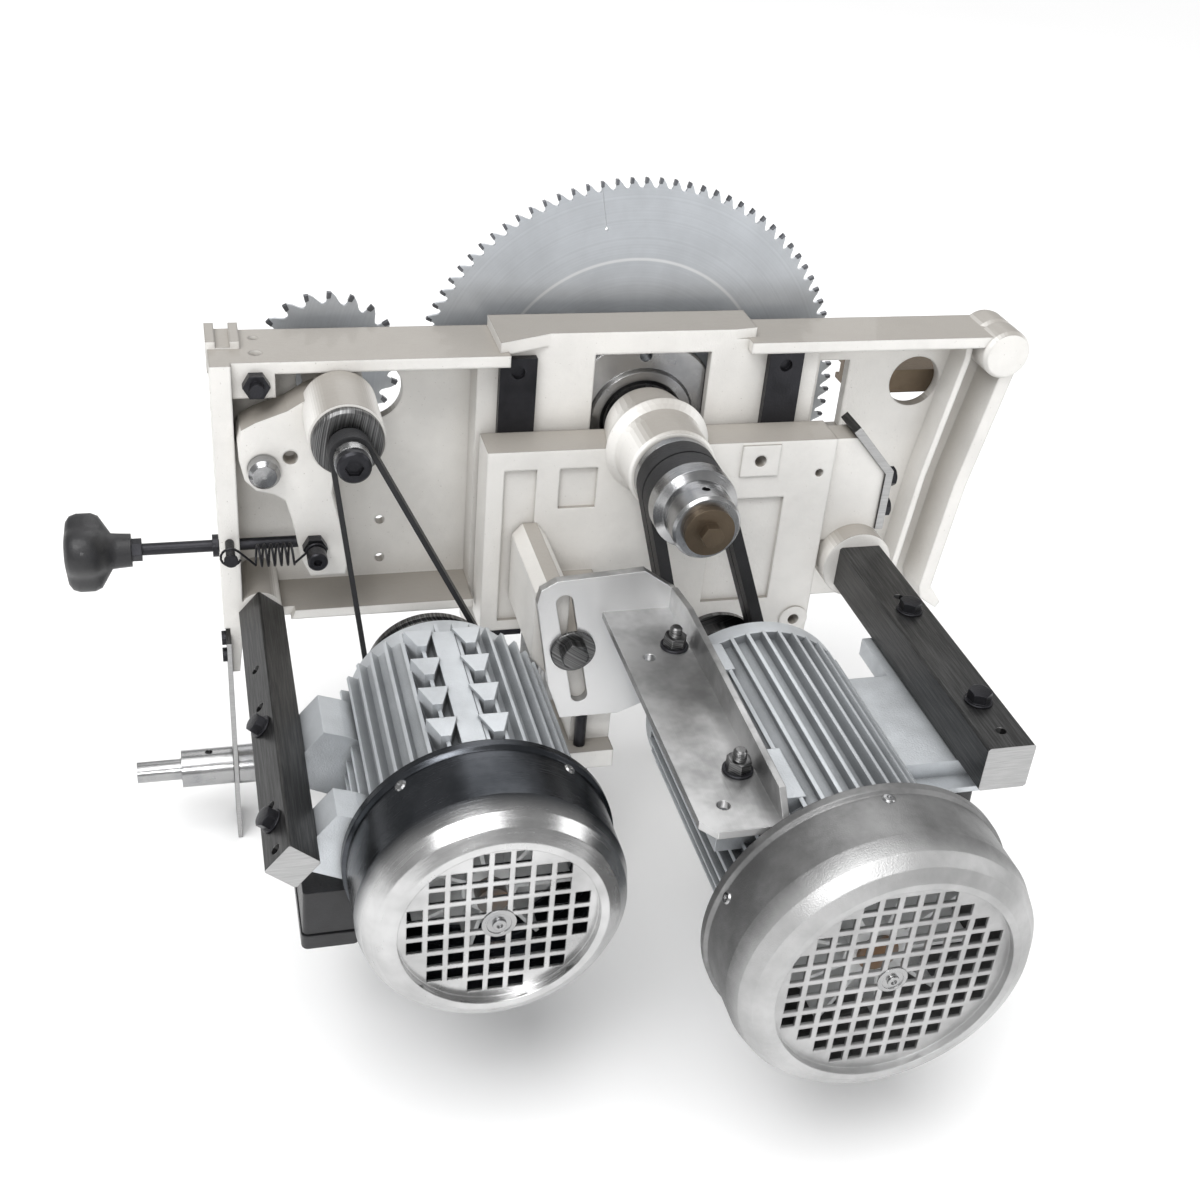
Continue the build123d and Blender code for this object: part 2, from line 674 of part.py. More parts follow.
with BuildPart() as main_fan_cover:
    shell(motor_x, motor_z, cover_r, 16.0, grill_r, cover_y, motor_end, 11.3, 8.2, 11.0)
    # inner skirt that grips the rear end of the barrel
    tube(motor_x, motor_z, cover_r - 1.0, core_r - 2.0, cover_y, cover_y - 1.6)
save(main_fan_cover, "main_fan_cover")

with BuildPart() as main_terminal_box:
    block(motor_x + 76.0, bar_x - 2.0, -234.0, -310.0, foot_top_z - 50.0, foot_top_z - 16.0)
    fillet(edges().filter_by(Axis.Y), 3.0)
save(main_terminal_box, "main_terminal_box")

with BuildPart() as cable_gland:
    bar(140.0, -146.0, 9.0, -310.0, -316.0)
    hexagon(across(-316.0, 140.0, -146.0), 22.0, 8.0)
    turned([(0.0, -324.0), (10.0, -324.0), (9.0, -333.0), (6.0, -336.0), (0.0, -336.0)], 140.0, -146.0)
    bar(140.0, -146.0, 4.0, -328.0, -340.0, Mode.SUBTRACT)
save(cable_gland, "cable_gland")

with BuildPart() as tension_bracket:
    slab(
        [
            (lug_left, -66.0),
            (-95.0, -56.0),
            (-85.0, -50.0),
            (-27.0, -46.0),
            (-9.0, -59.0),
            (-4.0, -62.0),
            (-4.0, -120.0),
            (-17.0, -150.0),
            (-36.0, -158.0),
            (-76.0, -158.0),
            (-86.0, -130.0),
        ],
        bracket_back,
        bracket_front,
    )
    hull(across(bracket_back + 1.0), -79.0, -66.0, 5.6, -64.0, -140.0, 5.6, 8.0, Mode.SUBTRACT)
    prism(
        facing_up(shelf_top - shelf_t),
        [
            (shelf_left, bracket_front),
            (shelf_right, bracket_front),
            (shelf_right, shelf_end),
            (shelf_left + 8.0, shelf_end),
            (shelf_left, shelf_end + 10.0),
        ],
        shelf_t,
    )
    prism(
        facing_right(shelf_right - 4.0),
        [
            (bracket_front, shelf_top - 1.0),
            (bracket_front, -60.0),
            (-200.0, -55.0),
            (-372.0, -60.0),
            (shelf_end, shelf_top - 1.0),
        ],
        4.0,
    )
    for y in stud_ys:
        disc(facing_up(shelf_top - 20.0, stud_x, y), 5.4, 40.0, Mode.SUBTRACT)
    for x, y in ((-37.0, -222.0), (-35.5, -365.0)):
        disc(facing_up(shelf_top - 20.0, x, y), 4.0, 40.0, Mode.SUBTRACT)
save(tension_bracket, "tension_bracket")

with BuildPart() as bracket_studs:
    for y in stud_ys:
        disc(facing_up(shelf_top, stud_x, y), 9.0, 1.8)
        hexagon(facing_up(shelf_top + 1.8, stud_x, y), 13.0, 7.0)
        disc(facing_up(shelf_top - shelf_t, stud_x, y), 4.0, 26.0)
save(bracket_studs, "bracket_studs")

with BuildPart() as main_rotor:
    turned(
        [
            (0.0, -124.0),
            (shaft_r - 1.0, -124.0),
            (shaft_r, -125.0),
            (shaft_r, -232.0),
            (34.5, -232.0),
            (34.5, -348.0),
            (shaft_r, -348.0),
            (shaft_r, -424.0),
            (0.0, -424.0),
        ],
        motor_x,
        motor_z,
    )
save(main_rotor, "main_rotor")

with BuildPart() as main_motor_pulley:
    hub_back, hub_front = belt_back + 4.0, belt_back - belt_pitch - belt_w - 4.0
    points = [(shaft_r, hub_back), (32.5, hub_back), (32.5, belt_back + gap)]
    for n in range(2):
        y = belt_back - n * belt_pitch
        y0, y1 = y + gap, y - belt_w - gap
        points += [(31.0, y0), (drive_r, y0), (drive_r, y1), (31.0, y1)]
    points += [(32.5, hub_front + 3.7), (32.5, hub_front), (shaft_r, hub_front)]
    turned(points, motor_x, motor_z)
save(main_motor_pulley, "main_motor_pulley")

with BuildPart() as main_fan:
    tube(motor_x, motor_z, 20.0, shaft_r, cover_y - 8.0, cover_y - 34.0)
    tube(motor_x, motor_z, 56.0, 18.0, cover_y - 8.0, cover_y - 11.0)
    with BuildSketch(across(cover_y - 10.0, motor_x, motor_z)) as vanes:
        with PolarLocations(37.0, 9):
            Rectangle(38.0, 2.4)
    extrude(vanes.sketch, amount=24.0)
save(main_fan, "main_fan")

# ---- scoring arm ----
with BuildPart() as scoring_arm:
    slab(
        [
            (-275.0, 0.0),
            (-275.5, 12.0),
            (-273.0, 21.0),
            (-264.0, 26.0),
            (-244.0, 33.5),
            (-232.0, 41.0),
            (-211.0, 50.0),
            (-192.0, 40.0),
            (-188.0, 22.0),
            (-200.0, 8.0),
            (-216.0, -14.0),
            (-217.0, -27.0),
            (-206.0, -74.0),
            (-209.0, -88.0),
            (-232.0, -88.0),
            (-238.0, -74.0),
            (-243.0, -45.0),
            (-247.0, -30.0),
            (-254.0, -25.0),
            (-265.0, -22.0),
            (-272.0, -14.0),
        ],
        arm_back,
        arm_front,
    )
    bar(score_x, score_z, barrel_neck_r, barrel_back, arm_front)
    bar(score_x, score_z, barrel_r, -68.5, barrel_front)
    bar(score_x, score_z, small_shaft_r + 2.0, 0.0, -130.0, Mode.SUBTRACT)
    bar(score_x, score_z, small_bearing_r, 0.0, -33.0, Mode.SUBTRACT)
    bar(score_x, score_z, small_bearing_r, -104.0, -130.0, Mode.SUBTRACT)
    bar(pivot_x, pivot_z, pin_r + run, 0.0, -100.0, Mode.SUBTRACT)
    bar(-243.0, 1.0, 4.8, arm_front + 12.0, -100.0, Mode.SUBTRACT)
    disc(facing_right(-245.0, rod_y, rod_z), rod_r + 1.8, 25.0, Mode.SUBTRACT)
    bar(hook_x, hook_z + 1.0, 3.0, -73.0, -100.0, Mode.SUBTRACT)
save(scoring_arm, "scoring_arm")

with BuildPart() as scoring_bearings:
    for y, y1 in ((-24.0, -33.0), (-104.0, -113.0)):
        tube(score_x, score_z, small_bearing_r, small_shaft_r + run, y, y1)
save(scoring_bearings, "scoring_bearings")

with BuildPart() as bearing_cover:
    lid = barrel_front - 6.0
    turned(
        [(12.0, barrel_front), (22.5, barrel_front), (22.5, lid + 2.0), (21.0, lid), (12.0, lid)],
        score_x,
        score_z,
    )
    turned([(12.0, -113.0), (15.9, -113.0), (15.9, -118.5), (12.0, -118.5)], score_x, score_z)
save(bearing_cover, "bearing_cover")

with BuildPart() as pivot_screw:
    bar(hook_x, hook_z + 1.0, 3.0, -73.5, -100.0)
    hexagon(across(arm_front, hook_x, hook_z + 1.0), 14.0, 7.0)
    turned([(0.0, -94.0), (6.5, -94.0), (6.5, -103.0), (5.5, -104.0), (0.0, -104.0)], hook_x, hook_z + 1.0)
    hexagon(across(-100.0, hook_x, hook_z + 1.0), 5.0, 6.0, Mode.SUBTRACT)
save(pivot_screw, "pivot_screw")

with BuildPart() as scoring_spindle:
    turned(
        [
            (0.0, 10.0),
            (7.0, 10.0),
            (7.0, 8.0),
            (10.0, 8.0),
            (10.0, -1.0),
            (16.0, -1.0),
            (19.0, -3.0),
            (19.0, -8.0),
            (11.0, -12.0),
            (small_shaft_r, -14.0),
            (small_shaft_r, -124.5),
            (11.3, -126.5),
            (11.3, -127.6),
            (small_pulley_r, -127.6),
            (small_pulley_r, -140.6),
            (11.3, -141.5),
            (11.3, -150.0),
            (0.0, -150.0),
        ],
        score_x,
        score_z,
    )
save(scoring_spindle, "scoring_spindle")

with BuildPart() as scoring_blade:
    toothed(score_x, score_z, small_blade_r, 2.0, 3.2, small_teeth, 10.0, 8.0)
save(scoring_blade, "scoring_blade")

with BuildPart() as scoring_clamp:
    turned([(10.0, 1.0), (22.0, 1.0), (22.0, 5.0), (14.0, 8.0), (10.0, 8.0)], score_x, score_z)
    hexagon(Plane(origin=(score_x, 8.0, score_z), x_dir=(1, 0, 0), z_dir=(0, 1, 0)), 22.0, 6.0)
    bar(score_x, score_z, 10.0, 8.0, 0.0, Mode.SUBTRACT)
    bar(score_x, score_z, 7.0, 20.0, 0.0, Mode.SUBTRACT)
save(scoring_clamp, "scoring_clamp")

with BuildPart() as scoring_nose_screw:
    turned([(0.0, -150.0), (10.5, -150.0), (10.5, -154.5), (9.0, -156.0), (0.0, -156.0)], score_x, score_z)
    hexagon(across(-152.5, score_x, score_z), 10.0, 5.0, Mode.SUBTRACT)
save(scoring_nose_screw, "scoring_nose_screw")

with BuildPart() as scoring_belt:
    hull(across(flat_belt_back), score_x, score_z, small_pulley_r + gap + flat_belt_t, small_x, small_z,
         small_drive_r + gap + flat_belt_t, flat_belt_w)
    hull(across(flat_belt_back + 1.0), score_x, score_z, small_pulley_r + gap, small_x, small_z,
         small_drive_r + gap, flat_belt_w + 2.0, Mode.SUBTRACT)
save(scoring_belt, "scoring_belt")

# ---- scoring motor ----
hang_u = (cos(radians(hang_turn)), sin(radians(hang_turn)))


def hang_point(u, v):
    """Point beside the square bar: u toward the motor feet, v along the face."""
    return (hang_x + u * hang_u[0] - v * hang_u[1], hang_z + u * hang_u[1] + v * hang_u[0])


with BuildPart() as scoring_motor_bar:
    with BuildSketch(across(hang_back, hang_x, hang_z)) as square:
        Rectangle(hang_side, hang_side, rotation=hang_turn)
    extrude(square.sketch, amount=hang_back - hang_end)
    chamfer(edges().filter_by(Axis.Y), 1.0)
    bar(hang_x, hang_z, hang_journal_r, web_back - 3.0, hang_back - 1.0)
    for y in (-152.0, -192.0, -286.0, -322.0):
        far = hang_point(-20.0, 0.0)
        with Locations(Plane(origin=(far[0], y, far[1]), z_dir=(-hang_u[0], 0, -hang_u[1]))):
            Hole(3.2, 60.0)
save(scoring_motor_bar, "scoring_motor_bar")

small_bolt_ys = (-212.0, -299.0)
with BuildPart() as scoring_bar_bolts:
    for y in small_bolt_ys:
        near = hang_point(-hang_side / 2, 0.0)
        face = Plane(origin=(near[0], y, near[1]), x_dir=(0, 1, 0), z_dir=(-hang_u[0], 0, -hang_u[1]))
        disc(face, 7.5, 1.4)
        hexagon(face.offset(1.4), 11.0, 6.0)
save(scoring_bar_bolts, "scoring_bar_bolts")

with BuildPart() as scoring_motor_body:
    finned(small_x, small_z, small_core_r, small_fin_r, small_barrel_y, small_cover_y, 38)
    half = hang_side / 2
    foot = [hang_point(half, -13.0), hang_point(half, 28.0), (-226.0, -108.0), (-206.0, -118.0)]
    foot += [(-206.0, -158.0), (-222.0, -158.0), hang_point(half + 9.0, -13.0)]
    for y, y1 in ((-194.0, -232.0), (-284.0, small_cover_y)):
        slab(foot, y, y1)
    block(-226.0, -200.0, -240.0, -300.0, -198.0, -168.0)
    bar(small_x, small_z, small_core_r - 9.0, small_barrel_y + 1.0, small_cover_y - 1.0, Mode.SUBTRACT)
    tube(small_x, small_z, small_core_r - 8.0, 20.0, small_cover_y + 9.0, small_cover_y)
    # lugs on top of the barrel
    for n in range(4):
        y = -190.0 - n * 30.0
        for x in (small_x - 18.0, small_x + 12.0):
            lug = [(x - 9.0, y + 6.0), (x + 9.0, y + 6.0), (x + 3.0, y - 11.0), (x - 3.0, y - 11.0)]
            prism(facing_up(small_z + small_core_r - 6.0), lug, 15.0)
    strip_top = small_z + small_fin_r + 0.5
    block(small_x - 10.0, small_x + 4.0, -184.0, -296.0, strip_top - 8.0, strip_top)
save(scoring_motor_body, "scoring_motor_body")

with BuildPart() as scoring_end_shield:
    turned([(20.0, small_shield_y), (50.0, small_shield_y), (small_shield_r, small_shield_y - 5.0),
            (small_shield_r, small_barrel_y), (20.0, small_barrel_y)], small_x, small_z)
    with BuildSketch(across(small_shield_y + 1.0, small_x, small_z)) as pockets:
        with PolarLocations(37.0, 6):
            Rectangle(16.0, 14.0)
    extrude(pockets.sketch, amount=7.0, mode=Mode.SUBTRACT)
save(scoring_end_shield, "scoring_end_shield")

with BuildPart() as scoring_fan_cover:
    shell(small_x, small_z, small_cover_r, 16.0, small_grill_r, small_cover_y, small_end, 11.6, 8.6, 11.0)
    tube(small_x, small_z, small_cover_r - 1.0, small_core_r - 2.0, small_cover_y, small_cover_y - 1.6)
save(scoring_fan_cover, "scoring_fan_cover")

with BuildPart() as scoring_terminal_box:
    block(-260.0, -226.0, -236.0, -305.0, -208.0, -164.0)
    fillet(edges().filter_by(Axis.Y), 3.0)
save(scoring_terminal_box, "scoring_terminal_box")

with BuildPart() as scoring_motor_inside:
    tube(small_x, small_z, small_core_r - 9.0, 32.0, -196.0, -280.0)
    for y, y1 in ((small_barrel_y + 11.0, small_barrel_y), (small_cover_y + 9.0, small_cover_y)):
        tube(small_x, small_z, 20.0, 9.0 + run, y, y1)
save(scoring_motor_inside, "scoring_motor_inside")

with BuildPart() as scoring_rotor:
    turned(
        [
            (0.0, -122.0),
            (9.0, -122.0),
            (9.0, -198.0),
            (31.5, -198.0),
            (31.5, -278.0),
            (9.0, -278.0),
            (9.0, -352.0),
            (0.0, -352.0),
        ],
        small_x,
        small_z,
    )
save(scoring_rotor, "scoring_rotor")

with BuildPart() as scoring_motor_pulley:
    y0, y1 = flat_belt_back + 1.0, flat_belt_back - flat_belt_w - 1.0
    turned(
        [
            (9.0, -122.0),
            (42.5, -122.0),
            (42.5, y0 + 0.6),
            (small_drive_r, y0),
            (small_drive_r, y1),
            (42.5, y1 - 0.6),
            (42.5, -146.0),
            (9.0, -146.0),
        ],
        small_x,
        small_z,
    )
save(scoring_motor_pulley, "scoring_motor_pulley")

with BuildPart() as scoring_fan:
    tube(small_x, small_z, 16.0, 9.0, small_cover_y - 8.0, small_cover_y - 34.0)
    tube(small_x, small_z, 48.0, 15.0, small_cover_y - 8.0, small_cover_y - 11.0)
    with BuildSketch(across(small_cover_y - 10.0, small_x, small_z)) as vanes:
        with PolarLocations(31.0, 7):
            Rectangle(33.0, 2.4)
    extrude(vanes.sketch, amount=24.0)
save(scoring_fan, "scoring_fan")

# ---- adjuster ----
with BuildPart() as adjusting_knob:
    plane = facing_left(knob_x, rod_y, rod_z)
    with BuildSketch(plane) as lobes:
        Circle(20.0)
        with PolarLocations(knob_r - 12.0, 3, start_angle=30):
            Circle(12.0)
    extrude(lobes.sketch, amount=knob_x - knob_end)
    fillet(faces().sort_by(Axis.X)[0].edges(), 2.5)
    disc(facing_left(knob_x + 12.0, rod_y, rod_z), 11.0, 13.0)
    disc(facing_left(knob_x + 13.0, rod_y, rod_z), rod_r, 25.0, Mode.SUBTRACT)
save(adjusting_knob, "adjusting_knob")

with BuildPart() as adjusting_rod:
    disc(facing_left(-228.0, rod_y, rod_z), rod_r, -228.0 - (knob_x - 10.0))
    hexagon(facing_left(knob_x + 19.0, rod_y, rod_z), 13.0, 7.0)
    disc(facing_left(left - gap, rod_y, rod_z), 7.5, 4.0)
save(adjusting_rod, "adjusting_rod")



def wire(start, end, r):
    """Straight wire with round ends between two points."""
    length = (end - start).length
    disc(Plane(origin=start, z_dir=end - start), r, length)
    with Locations(start, end):
        Sphere(r)


with BuildPart() as adjuster_spring:
    start = (-269.0, spring_y, hook_z + 1.0)
    coil = Helix(pitch=5.0, height=25.0, radius=7.2, center=start, direction=(1, 0, 0))
    with BuildSketch(Plane(origin=coil @ 0, z_dir=coil % 0)):
        Circle(0.8)
    sweep(path=coil, is_frenet=True)
    for x, end, reach in ((post_x, coil @ 0, ring_r), (hook_x, coil @ 1, -ring_r)):
        with Locations(Plane(origin=(x, spring_y, hook_z + 1.0), z_dir=(0, 1, 0))):
            Torus(ring_r, 0.8)
        wire(Vector(x + reach, spring_y, hook_z + 1.0), end, 0.8)
save(adjuster_spring, "adjuster_spring")

# ---- raising gear ----
with BuildPart() as raise_shaft:
    disc(facing_left(-68.5, screw_y, lift_z), lift_r, -68.5 - lift_left - lift_end)
    disc(facing_left(-80.0, screw_y, lift_z), lift_r - 0.5, -80.0 - lift_left)
    with BuildSketch(Plane(origin=(0, screw_y, lift_z), x_dir=(1, 0, 0), z_dir=(0, -1, 0))) as cone:
        with BuildLine():
            Polyline((-79.0, 0.0), (-79.0, 10.0), (-72.0, 11.7), (-68.5, 8.2), (-68.5, 0.0), close=True)
        make_face()
    revolve(cone.sketch, axis=Axis((0, screw_y, lift_z), (1, 0, 0)))
save(raise_shaft, "raise_shaft")

with BuildPart() as shaft_collar:
    disc(facing_left(plate_x - gap, screw_y, lift_z), 13.3, 36.0)
    disc(facing_left(left + 22.0, screw_y, lift_z), 14.0, 18.0 - gap)
    disc(facing_left(left + 30.0, screw_y, lift_z), lift_r, 80.0, Mode.SUBTRACT)
    disc(facing_up(lift_z, left - 16.0, screw_y), 2.6, 20.0, Mode.SUBTRACT)
save(shaft_collar, "shaft_collar")

with BuildPart() as raise_screw:
    disc(facing_up(foot_top + gap, screw_x, screw_y), screw_r, -122.5 - foot_top - gap)
    disc(facing_up(foot_bottom, screw_x, screw_y), screw_r - 1.0, 10.0)
    with BuildSketch(Plane(origin=(screw_x, screw_y, 0), x_dir=(1, 0, 0), z_dir=(0, -1, 0))) as cone:
        with BuildLine():
            Polyline((0.0, -244.5), (8.2, -244.5), (11.7, -241.0), (10.7, -239.6), (0.0, -239.6), close=True)
        make_face()
    revolve(cone.sketch, axis=Axis((screw_x, screw_y, 0), (0, 0, 1)))
    disc(facing_up(foot_top + gap, screw_x, screw_y), 10.0, 6.0)
save(raise_screw, "raise_screw")
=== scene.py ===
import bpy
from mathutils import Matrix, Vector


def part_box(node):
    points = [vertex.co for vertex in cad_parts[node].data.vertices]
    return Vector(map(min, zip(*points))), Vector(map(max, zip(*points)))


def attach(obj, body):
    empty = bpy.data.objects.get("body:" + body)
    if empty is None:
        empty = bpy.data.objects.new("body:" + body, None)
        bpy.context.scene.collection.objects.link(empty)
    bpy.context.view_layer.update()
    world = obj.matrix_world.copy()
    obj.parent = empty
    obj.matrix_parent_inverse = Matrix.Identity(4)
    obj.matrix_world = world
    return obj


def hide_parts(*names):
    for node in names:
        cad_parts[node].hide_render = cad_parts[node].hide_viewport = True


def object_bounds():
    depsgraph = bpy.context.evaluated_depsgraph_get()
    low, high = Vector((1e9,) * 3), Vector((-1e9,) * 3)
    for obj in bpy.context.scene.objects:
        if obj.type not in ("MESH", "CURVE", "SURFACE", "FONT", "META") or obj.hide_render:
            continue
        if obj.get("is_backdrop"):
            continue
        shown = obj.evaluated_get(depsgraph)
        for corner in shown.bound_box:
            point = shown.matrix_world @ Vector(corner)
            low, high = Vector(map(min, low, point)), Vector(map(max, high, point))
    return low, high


bl_info = {
    "name": "Panel saw unit",
    "version": (1, 0, 0),
    "blender": (4, 5, 0),
    "location": "3D View > Sidebar > Saw unit",
    "description": "Finishes and fine pieces of a panel saw's saw unit",
    "category": "Add Mesh",
}

from math import cos, pi, radians, sin, tan

import bmesh
import bpy
from mathutils import Matrix, Vector

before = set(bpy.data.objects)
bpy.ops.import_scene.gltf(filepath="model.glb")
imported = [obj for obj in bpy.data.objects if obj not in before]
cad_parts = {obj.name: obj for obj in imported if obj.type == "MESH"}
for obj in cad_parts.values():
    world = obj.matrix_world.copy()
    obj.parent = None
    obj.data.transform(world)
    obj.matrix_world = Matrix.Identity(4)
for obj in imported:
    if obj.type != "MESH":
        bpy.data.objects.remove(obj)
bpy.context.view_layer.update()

# Lines along Y that fine pieces are set on, as x and z in metres.
MAIN_MOTOR = (0.044, -0.142)
SCORING_MOTOR = (-0.158, -0.139)
SCORING_SPINDLE = (-0.211, 0.031)

FINISH_OF = {
    "cast enamel": ("main_frame", "carriage", "scoring_arm"),
    "drawn bar": (
        "gear_bracket", "shaft_plate", "clamp_plate", "main_motor_bar", "scoring_motor_bar",
    ),
    "ground steel": (
        "pivot_pin", "spindle_bearings", "main_spindle", "arbor_nut", "scoring_bearings",
        "blade_flange", "scoring_spindle", "scoring_clamp", "raise_shaft", "shaft_collar", "raise_screw",
        "lock_hub", "main_pulley",
    ),
    "dark turned steel": ("bearing_cover", "main_motor_pulley", "scoring_motor_pulley"),
    "brushed plate": ("tension_bracket",),
    "die-cast alloy": (
        "main_motor_body", "main_end_shield", "scoring_motor_body", "scoring_end_shield",
    ),
    "silver cover": ("main_fan_cover",),
    "dark cover": ("scoring_fan_cover",),
    "black oxide": (
        "scoring_nose_screw", "pivot_screw", "frame_screws", "jack_screw", "adjusting_rod", "guide_rails",
    ),
    "brown steel": ("end_bolt", "rear_rail"),
    "wound core": ("main_motor_inside", "scoring_motor_inside", "main_rotor", "scoring_rotor"),
    "bronze": ("raise_nut",),
    "belt rubber": ("main_belts", "scoring_belt"),
    "black plastic": (),
    "pale plastic": ("main_fan", "scoring_fan"),
    "grey plastic": (),
    "blade steel": (),
    "carbide": (),
}


class Wire:
    """A node's output that can be used in Python arithmetic."""

    def __init__(self, shop, socket):
        self.shop = shop
        self.socket = socket

    def maths(self, operation, *values, clamp=False):
        settings = {"operation": operation, "use_clamp": clamp}
        return self.shop.node("ShaderNodeMath", settings, dict(enumerate(values)))

    def __add__(self, other):
        return self.maths("ADD", self, other)

    __radd__ = __add__

    def __sub__(self, other):
        return self.maths("SUBTRACT", self, other)

    def __rsub__(self, other):
        return self.maths("SUBTRACT", other, self)

    def __mul__(self, other):
        return self.maths("MULTIPLY", self, other)

    __rmul__ = __mul__

    def __truediv__(self, other):
        return self.maths("DIVIDE", self, other)

    def __pow__(self, other):
        return self.maths("POWER", self, other)

    def __abs__(self):
        return self.maths("ABSOLUTE", self)


class Shop:
    """Makes one material's nodes."""

    def __init__(self, name):
        self.material = bpy.data.materials.new(name)
        self.material.use_nodes = True
        self.tree = self.material.node_tree
        self.tree.nodes.clear()
        self.shader = self.node("ShaderNodeBsdfPrincipled")
        self.node("ShaderNodeOutputMaterial", feeds={"Surface": self.shader})
        self.place = self.node("ShaderNodeTexCoord", output="Object")

    def feed(self, node, name, value):
        socket = node.inputs[name]
        if isinstance(value, Wire):
            self.tree.links.new(value.socket, socket)
        else:
            socket.default_value = value

    def node(self, kind, settings=None, feeds=None, output=0):
        made = self.tree.nodes.new(kind)
        for name, value in (settings or {}).items():
            setattr(made, name, value)
        for name, value in (feeds or {}).items():
            self.feed(made, name, value)
        return Wire(self, made.outputs[output]) if made.outputs else None

    def noise(self, scale, detail=4.0, rough=0.55, stretch=None):
        place = self.place
        if stretch:
            place = self.node("ShaderNodeMapping", None, {"Vector": place, "Scale": stretch})
        return self.node(
            "ShaderNodeTexNoise", None,
            {"Vector": place, "Scale": scale, "Detail": detail, "Roughness": rough},
        )

    def blend(self, share, first, second):
        """Colour mix; the sockets' numbers are those of the node's colour side."""
        return self.node("ShaderNodeMix", {"data_type": "RGBA"}, {0: share, 6: first, 7: second}, 2)

    def step(self, value, low, high):
        return self.node(
            "ShaderNodeMapRange", {"interpolation_type": "SMOOTHSTEP"},
            {"Value": value, "From Min": low, "From Max": high},
        )

    def split(self, vector):
        apart = self.node("ShaderNodeSeparateXYZ", feeds={"Vector": vector})
        return [Wire(self, socket) for socket in apart.socket.node.outputs]

    def facing(self):
        return self.split(self.node("ShaderNodeNewGeometry", output="True Normal"))

    def rings(self, x, z, pitch):
        """Turning marks about the Y line through x, z."""
        px, _, pz = self.split(self.place)
        radius = ((px - x) ** 2.0 + (pz - z) ** 2.0) ** 0.5
        marks = self.node(
            "ShaderNodeTexNoise", {"noise_dimensions": "1D"},
            {"W": radius / pitch, "Scale": 1.0, "Detail": 3.0},
        )
        return radius, marks

    def relief(self, height, depth, edge=0.0):
        bump = self.node("ShaderNodeBump", None, {"Height": height, "Strength": 1.0, "Distance": depth})
        if edge:
            bump = self.node("ShaderNodeBevel", {"samples": 4}, {"Radius": edge, "Normal": bump})
        return bump

    def finish(self, **values):
        for name, value in values.items():
            self.feed(self.shader.socket.node, name.replace("_", " "), value)
        return self.material


def grey(level):
    return (level, level, level, 1.0)


def toned(colour, share=1.0):
    """A share of a colour, as a colour socket takes it."""
    return (*(share * part for part in colour), 1.0)


def cast_enamel(look):
    shop = Shop("cast enamel")
    _, _, up = shop.facing()
    grain = shop.noise(1300.0, 3.0)
    patches = shop.noise(16.0, 5.0, 0.6)
    specks = shop.step(shop.noise(620.0, 2.0, 0.6), 0.70, 0.76)
    body = shop.blend(shop.step(patches, 0.35, 0.7), toned(look.enamel), toned(look.enamel, 0.90))
    # Faces that look up blend towards the darker top colour: some dust, but mostly painted shade on the top
    # faces.
    top_dust_and_shade = shop.blend(shop.step(up, 0.5, 0.9) * 0.85, body, toned(look.enamel_top_dust_and_shade))
    # Ambient occlusion darkens the enamel in crevices and recesses: painted shade.
    shade = shop.node("ShaderNodeAmbientOcclusion", {"samples": 6}, {"Distance": 0.030}, "AO")
    crevice_shade = shop.blend((1.0 - shop.step(shade, 0.15, 0.95)) * 0.55, top_dust_and_shade, (0.33, 0.30, 0.26, 1.0))
    worn = shop.blend(specks * 0.45, crevice_shade, (0.22, 0.19, 0.15, 1.0))
    relief = shop.relief(grain * 0.35 + shop.noise(260.0, 3.0) * 0.65, 0.00045, 0.0022)
    return shop.finish(Base_Color=worn, Roughness=0.42 + patches * 0.22, Normal=relief, Coat_Weight=0.15)


def drawn_bar(look):
    shop = Shop("drawn bar")
    _, out, _ = shop.facing()
    lines = shop.noise(60.0, 5.0, 0.7, (14.0, 0.5, 14.0))
    ends = shop.step(abs(out), 0.8, 0.95)
    long_face = shop.blend(shop.step(lines, 0.35, 0.75), grey(0.055), grey(0.13))
    saw_marks = shop.noise(60.0, 4.0, 0.6, (1.0, 1.0, 22.0))
    end_face = shop.blend(saw_marks, grey(0.26), grey(0.56))
    return shop.finish(
        Base_Color=shop.blend(ends, long_face, end_face), Metallic=0.92, Roughness=0.27 + lines * 0.2,
        Normal=shop.relief(lines, 0.00012, 0.0008),
    )


def turned_steel(name, level, rough):
    def make(look):
        shop = Shop(name)
        fine = shop.noise(500.0, 3.0)
        stains = shop.noise(28.0, 4.0, 0.6)
        stained = toned((0.72, 0.73, 0.76), level)
        tone = shop.blend(shop.step(stains, 0.4, 0.72), grey(level), stained)
        marks = shop.noise(60.0, 3.0, 0.6, (1.0, 18.0, 1.0))
        return shop.finish(
            Base_Color=tone, Metallic=1.0, Roughness=rough + marks * 0.16,
            Normal=shop.relief(marks * 0.7 + fine * 0.3, 0.00012, 0.0006),
        )

    return make


def dark_turned_steel(look):
    shop = Shop("dark turned steel")
    _, marks = shop.rings(0.0, 0.0, 0.0011)
    tone = shop.blend(shop.step(marks, 0.35, 0.7), grey(0.10), grey(0.26))
    return shop.finish(
        Base_Color=tone, Metallic=1.0, Roughness=0.24 + marks * 0.18,
        Normal=shop.relief(marks, 0.00015, 0.0006),
    )


def brushed_plate(look):
    shop = Shop("brushed plate")
    lines = shop.noise(55.0, 6.0, 0.7, (16.0, 0.4, 16.0))
    smears = shop.noise(22.0, 4.0, 0.6)
    _, out, _ = shop.facing()
    smeared = shop.blend(shop.step(smears, 0.35, 0.7), grey(0.58), grey(0.30))
    tone = shop.blend(shop.step(abs(out), 0.8, 0.95), smeared, grey(0.88))
    return shop.finish(
        Base_Color=tone, Metallic=0.85, Roughness=0.22 + lines * 0.25,
        Normal=shop.relief(lines, 0.0001, 0.0008),
    )


